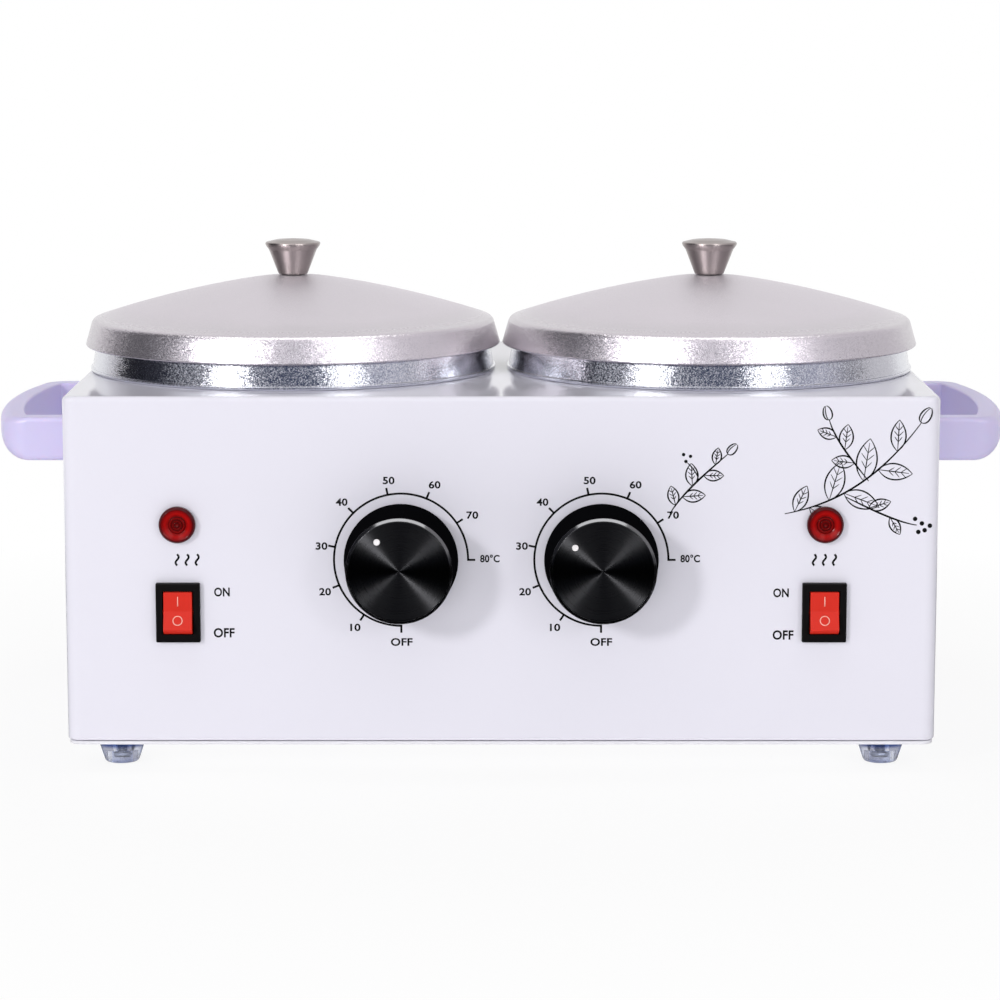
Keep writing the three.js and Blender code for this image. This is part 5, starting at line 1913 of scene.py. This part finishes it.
class Sprigs:
    """Line drawing of leafy sprigs with buds and berries, from the panel's top right corner."""

    PEN = 0.55

    def __init__(self) -> None:
        """Starts with an empty sheet."""
        self.strokes: list[Shape] = []

    @staticmethod
    def bezier(*ways: Sequence[float], steps: int = 28) -> np.ndarray:
        """A cubic curve.

        Args:
            *ways: Its four control points.
            steps: Number of pieces.

        Returns:
            Its points.
        """
        t = np.linspace(0, 1, steps + 1)[:, None]
        a, b, c, d = (np.array(way, dtype=float) for way in ways)
        return (1 - t) ** 3 * a + 3 * (1 - t) ** 2 * t * b + 3 * (1 - t) * t**2 * c + t**3 * d

    def draw(self, line: np.ndarray, weight: float = 1.0, taper: bool = True) -> None:
        """Adds a pen stroke.

        Args:
            line: Its points.
            weight: Its width against the pen's.
            taper: Whether it thins out at its ends.
        """
        share = np.linspace(0, 1, len(line))
        width = self.PEN * weight * (0.45 + 0.55 * np.sin(share * math.pi) if taper else np.ones(len(line)))
        self.strokes.append(ribbon(line, width))

    @staticmethod
    def spots(foot: np.ndarray, angle: float, length: float, *shares: tuple[float, float]) -> np.ndarray:
        """Places along and across a direction, each given as two shares of a length."""
        way = direction(angle)
        return foot + length * np.array(shares) @ np.array([way, (-way[1], way[0])])

    def leaf(self, foot: np.ndarray, angle: float, length: float, belly: float) -> None:
        """Adds a leaf with a midrib and side veins.

        Args:
            foot: Where it leaves the stem.
            angle: Its direction in degrees.
            length: Its length.
            belly: Half of its width as a share of its length.
        """
        for sign in (1, -1):
            wide = sign * belly
            edge = (0, 0), (0.3, 1.5 * wide), (0.72, 1.1 * wide), (1, 0)
            self.draw(self.bezier(*self.spots(foot, angle, length, *edge)), 1.0)
            for share in (0.3, 0.48, 0.66):
                vein = (share, 0), (share + 0.16, 0.62 * math.sin(math.pi * share) * wide)
                self.draw(np.linspace(*self.spots(foot, angle, length, *vein), 6), 0.55)
        self.draw(np.linspace(*self.spots(foot, angle, length, (0, 0), (0.9, 0)), 12), 0.7)

    def bud(self, foot: np.ndarray, angle: float, length: float) -> None:
        """Adds a closed bud of three overlapping petals.

        Args:
            foot: Where it leaves the stem.
            angle: Its direction in degrees.
            length: Its length.
        """
        for sign in (1, -1):
            wide = sign * 0.42
            petal = (0, 0), (0, wide), (0.8, 0.9 * wide), (1, sign * 0.25 / length)
            self.draw(self.bezier(*self.spots(foot, angle, length, *petal)), 1.0)
        petal = (0, 0), (0, 0.15), (0.6, 0.2), (1, 0)
        self.draw(self.bezier(*self.spots(foot, angle, length, *petal)), 0.7)

    def berry(self, at: np.ndarray, radius: float) -> None:
        """Adds a filled dot."""
        half = radius / 2
        self.strokes.append(ribbon(arc(at[0], at[1], half, 0, 350, 35), radius, closed=True))

    def sprig(
        self, stem: np.ndarray, leaves: Sequence[tuple[float, float, float]], belly: float = 0.24
    ) -> None:
        """Adds a stem with its leaves.

        Args:
            stem: The stem's points.
            leaves: For each leaf its share along the stem, its angle off the stem and its length.
            belly: Half of a leaf's width as a share of its length.
        """
        self.draw(stem, 1.25)
        slope = np.gradient(stem, axis=0)
        for share, off, length in leaves:
            i = int(share * (len(stem) - 1))
            along = math.degrees(math.atan2(slope[i][1], slope[i][0]))
            self.leaf(stem[i], along + off, length, belly)

    def shapes(self) -> list[Shape]:
        """Draws the small and the large spray.

        Returns:
            The strokes, with the panel's top right corner as their origin.
        """
        main = self.bezier((-54, -41), (-38, -38), (-22, -30), (-7, -9))
        leaves = [(0.1, 52, 10), (0.2, -48, 11), (0.33, 50, 14), (0.45, -50, 13), (0.58, 46, 15)]
        self.sprig(main, leaves + [(0.7, -48, 12), (0.84, 40, 11)])
        self.bud(main[-1], 58, 6)
        side = self.bezier((-25, -29.5), (-31, -22), (-37, -15), (-39, -8))
        self.sprig(side, [(0.3, 45, 8), (0.5, -42, 9), (0.72, 40, 7)], 0.27)
        self.bud(side[-1], 105, 5)
        lower = self.bezier((-33, -35), (-25, -39), (-15, -44), (-8, -45))
        self.sprig(lower, [(0.35, 42, 8), (0.62, -38, 7)], 0.25)
        for spot in ((-6.2, -44.4), (-5.2, -46.8), (-7.4, -47.4), (-3.4, -45.2), (-8.6, -42.8)):
            self.berry(np.array(spot), 0.8)
        small = self.bezier((-94, -41), (-90, -34), (-82, -27), (-74, -20))
        self.sprig(small, [(0.15, 50, 7), (0.3, -46, 8), (0.48, 48, 8), (0.66, -44, 7), (0.84, 40, 6)], 0.27)
        self.bud(small[-1], 48, 4.6)
        for spot in ((-88.6, -22.6), (-87.0, -20.8), (-89.4, -20.2)):
            self.berry(np.array(spot), 0.6)
        self.draw(self.bezier((-84, -29.2), (-85, -26), (-87, -24), (-88.4, -22.8)), 0.8)
        return self.strokes


# Studio


@dataclass(frozen=True)
class Softbox:
    """A strip lamp.

    Attributes:
        name: Its name.
        azimuth: Degrees round from the front, positive to the right.
        elevation: Degrees up.
        distance: Metres from the object.
        size: Width and height in metres.
        power: Power in watts.
        in_gloss: Whether shiny surfaces show it.
        on_matt: Whether it lights matt surfaces.
    """

    name: str
    azimuth: float
    elevation: float
    distance: float
    size: tuple[float, float]
    power: float
    in_gloss: bool = True
    on_matt: bool = True

    def build(self, aim: Vector) -> None:
        """Hangs the lamp and turns it to the object.

        Args:
            aim: What it points at.
        """
        lamp = bpy.data.lights.new(self.name, "AREA")
        lamp.shape, lamp.energy = "RECTANGLE", self.power
        lamp.size, lamp.size_y = self.size
        made = bpy.data.objects.new(self.name, lamp)
        around, up = math.radians(self.azimuth), math.radians(self.elevation)
        way = Vector((math.sin(around) * math.cos(up), -math.cos(around) * math.cos(up), math.sin(up)))
        made.location = aim + way * self.distance
        made.rotation_euler = (-way).to_track_quat("-Z", "Y").to_euler()
        made.visible_camera = False
        made.visible_glossy, made.visible_diffuse = self.in_gloss, self.on_matt
        bpy.context.scene.collection.objects.link(made)


class Studio:
    """Camera, pale floor, white surroundings, soft lamps and the glowing curtain behind the camera.

    The curtain glows for gloss only: painted reflection tones in two bands, left to right, low and high.
    """

    # Painted reflection tones of the curtain's low and high band, by share from left to right.
    CURTAIN_LOW = (
        (0.0, "#E8E6E8"), (0.056, "#DEDBDD"), (0.064, "#0E1016"), (0.17, "#1A1D25"),
        (0.32, "#343A4A"), (0.46, "#454D63"), (0.58, "#465069"), (0.67, "#7C8297"),
        (0.74, "#B2B4C5"), (0.8, "#96969F"), (0.84, "#77777D"), (0.875, "#C8C6C8"),
        (1.0, "#E8E6E8"),
    )
    CURTAIN_HIGH = (
        (0.0, "#D0CED2"), (0.04, "#BDBBBF"), (0.1, "#3C3C42"), (0.2, "#4A4A52"), (0.265, "#E8E8EE"),
        (0.42, "#F4F4F8"), (0.51, "#DAD9E0"), (0.6, "#F4F4F8"), (0.75, "#F4F2F6"),
        (0.92, "#ECEAEE"), (1.0, "#E6E4E8"),
    )
    BAND_LOW, BAND_HIGH, BAND_SAG = 0.19, 0.27, 0.16  # height shares where the bands meet in the middle
    CURTAIN_REACH, CURTAIN_POINTS = 130, 87  # degrees to either side, and points along its foot
    CURTAIN_RADIUS, CURTAIN_TOP = 3.8, 5.5
    CARD_NEAR, CARD_FAR, CARD_HALF = 0.3, -3.7, 3.4  # where it starts and ends, and half of its width
    HIDDEN_FROM = ("camera", "diffuse", "shadow", "transmission", "volume_scatter")

    CAMERA_AT = (-0.00042, -1.234, 0.2764)
    CAMERA_PITCH = 8.84  # degrees down
    LENS, SENSOR = 120.4, 36
    FLOOR_HALF = 6.0
    FLOOR_FADE = (0.2, 0.45)  # distances from the middle between which it turns white
    FLOOR_GLOW = 0.88  # share of plain white under the object, so that its shadow stays faint
    AMBIENT = 0.36
    WHITE = (1.0, 1.0, 1.0, 1.0)
    AIM = (0, 0, 0.12)
    LAMPS = (
        Softbox("key", -35, 17, 3.0, (0.42, 0.42), 25, in_gloss=False),
        Softbox("key_glint", -35, 17, 3.0, (0.42, 0.42), 62, on_matt=False),
        Softbox("fill", 33, 16, 3.0, (0.5, 0.5), 6, in_gloss=False),
        Softbox("fill_glint", 33, 16, 3.0, (0.5, 0.5), 36, on_matt=False),
        Softbox("left_strip", -36, 34, 3.0, (0.95, 3.2), 15, on_matt=False),
        Softbox("right_strip", 31, 34, 3.0, (0.88, 3.2), 16, on_matt=False),
        Softbox("front", 0, 6, 3.0, (2.0, 1.2), 14, in_gloss=False),
        Softbox("overhead", 0, 80, 2.2, (2.8, 0.6), 14),
        Softbox("back", 180, 18, 3.0, (2.0, 1.2), 9, in_gloss=False),
    )

    def camera(self) -> None:
        """Sets the camera where the photograph was taken from."""
        data = bpy.data.cameras.new("camera")
        data.lens, data.sensor_width, data.clip_end = self.LENS, self.SENSOR, 100
        made = bpy.data.objects.new("camera", data)
        made.location = self.CAMERA_AT
        made.rotation_euler = (math.radians(90 - self.CAMERA_PITCH), 0, 0)
        bpy.context.scene.collection.objects.link(made)
        bpy.context.scene.camera = made

    def world(self) -> None:
        """Lights the scene softly from all round, with white where the camera, gloss or glass looks."""
        world = bpy.data.worlds.new("white_surroundings")
        bpy.context.scene.world = world
        tree = cleared(world)
        path = add_node(tree, "LightPath").outputs
        rays = {0: path["Is Camera Ray"], 1: path["Is Glossy Ray"]}
        seen = add_node(tree, "Math", rays, operation="MAXIMUM")
        rays = {0: seen.outputs[0], 1: path["Is Transmission Ray"]}
        seen = add_node(tree, "Math", rays, operation="MAXIMUM")
        soft = add_node(tree, "Background", {"Color": self.WHITE, "Strength": self.AMBIENT})
        white = add_node(tree, "Background", {"Color": self.WHITE, "Strength": 1.0})
        mixed = add_node(tree, "MixShader", {0: seen.outputs[0], 1: soft.outputs[0], 2: white.outputs[0]})
        add_node(tree, "OutputWorld", {"Surface": mixed.outputs[0]})

    def stand(self, name: str, shape: Shape, material: bpy.types.Material, gloss_only: bool) -> None:
        """Stands a piece of the stage in the scene.

        Args:
            name: Its name.
            shape: Its geometry.
            material: Its look.
            gloss_only: Whether only gloss sees it.
        """
        made = bpy.data.objects.new(name, shape.mesh(name))
        bpy.context.scene.collection.objects.link(made)
        made.data.materials.append(material)
        if gloss_only:
            for ray in self.HIDDEN_FROM:
                setattr(made, f"visible_{ray}", False)

    def floor(self) -> None:
        """Lays a pale floor that takes the object's shadow and fades to white far out."""
        size = 2 * self.FLOOR_HALF / MM
        material = bpy.data.materials.new("pale_matt_floor")
        tree = cleared(material)
        place = add_node(tree, "TexCoord").outputs["Object"]
        away = add_node(tree, "VectorMath", {0: place}, operation="LENGTH").outputs["Value"]
        near, far = self.FLOOR_FADE
        limits = {"From Min": near, "From Max": far, "To Min": self.FLOOR_GLOW}
        fade = add_node(tree, "MapRange", {"Value": away, **limits}).outputs["Result"]
        matt = add_node(tree, "BsdfDiffuse", {"Color": (0.93, 0.93, 0.94, 1.0)})
        white = add_node(tree, "Emission", {"Color": self.WHITE, "Strength": 1.0})
        mixed = add_node(tree, "MixShader", {0: fade, 1: matt.outputs[0], 2: white.outputs[0]})
        add_node(tree, "OutputMaterial", {"Surface": mixed.outputs[0]})
        self.stand("floor", block(size, size, -20, 0), material, gloss_only=False)

    def curtain(self) -> None:
        """Hangs a glowing curtain behind the camera that only gloss sees: painted reflections for the metal.
        """
        angle = np.radians(np.linspace(-self.CURTAIN_REACH, self.CURTAIN_REACH, self.CURTAIN_POINTS))
        radius, top = self.CURTAIN_RADIUS / MM, self.CURTAIN_TOP / MM
        foot = np.column_stack([radius * np.sin(angle), -radius * np.cos(angle)])
        points = np.concatenate([level(foot, 0), level(foot, top)])
        count = len(angle)
        left = np.arange(count - 1)
        faces = np.stack([left, left + 1, left + 1 + count, left + count], axis=1)
        spin = np.zeros((faces.size, 2))
        spin[:, 0] = (faces % count / (count - 1)).reshape(-1)
        spin[:, 1] = (faces // count).reshape(-1) + self.BAND_SAG * np.abs(2 * spin[:, 0] - 1)
        material = bpy.data.materials.new("dark_curtain")
        tree = cleared(material)
        plane = add_node(tree, "UVMap", uv_map=SPIN_UV)
        split = add_node(tree, "SeparateXYZ", {0: plane.outputs["UV"]}).outputs
        low, high = (ramp(tree, split["X"], stops) for stops in (self.CURTAIN_LOW, self.CURTAIN_HIGH))
        limits = {"From Min": self.BAND_LOW, "From Max": self.BAND_HIGH}
        lift = add_node(tree, "MapRange", {"Value": split["Y"], **limits}).outputs["Result"]
        lit = add_node(tree, "Mix", {0: lift, 6: low, 7: high}, data_type="RGBA")
        # The curtain emits its colour: painted reflection tones that only glossy rays pick up.
        glow = add_node(tree, "Emission", {"Color": lit.outputs[2], "Strength": 1.0})
        add_node(tree, "OutputMaterial", {"Surface": glow.outputs[0]})
        shape = Shape(points, faces.reshape(-1), np.full(len(faces), 4), spin)
        self.stand("curtain", shape, material, gloss_only=True)

    def card(self) -> None:
        """Lays a black card in front of the object that only gloss sees: a painted dark reflection keeping
        black deep.
        """
        near, far, half = (length / MM for length in (self.CARD_NEAR, self.CARD_FAR, self.CARD_HALF))
        outline = np.array([(half, far), (half, near), (-half, near), (-half, far)])
        self.stand("card", prism(outline, 1, 2), DYED_BLACK.material(), gloss_only=True)

    def build(self) -> None:
        """Sets everything up."""
        self.camera()
        self.world()
        self.floor()
        self.curtain()
        self.card()
        for box in self.LAMPS:
            box.build(Vector(self.AIM))
        bpy.context.scene.view_settings.view_transform = "Standard"


def main() -> None:
    """Builds the studio and every sub-assembly."""
    logging.basicConfig(level=logging.INFO, format="%(name)s: %(message)s")
    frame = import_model()
    Studio().build()
    layout, screws = Layout.read(), Fasteners()
    panel = Panel(layout)
    Housing(layout, screws).build()
    for side in Side:
        Vessel(side, layout, screws).build(frame)
        Handle(side, layout, screws).build()
        Dial(side, layout, panel, screws).build(frame)
        Lamp(side, layout).build(frame)
        Switch(side, layout).build()
        for end in ENDS:
            Foot(f"{end}_{side.tag}", screws).build()
    panel.build()
    keep(frame, "terminal_block", PHENOLIC)
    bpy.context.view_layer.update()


if __name__ == "__main__":
    main()
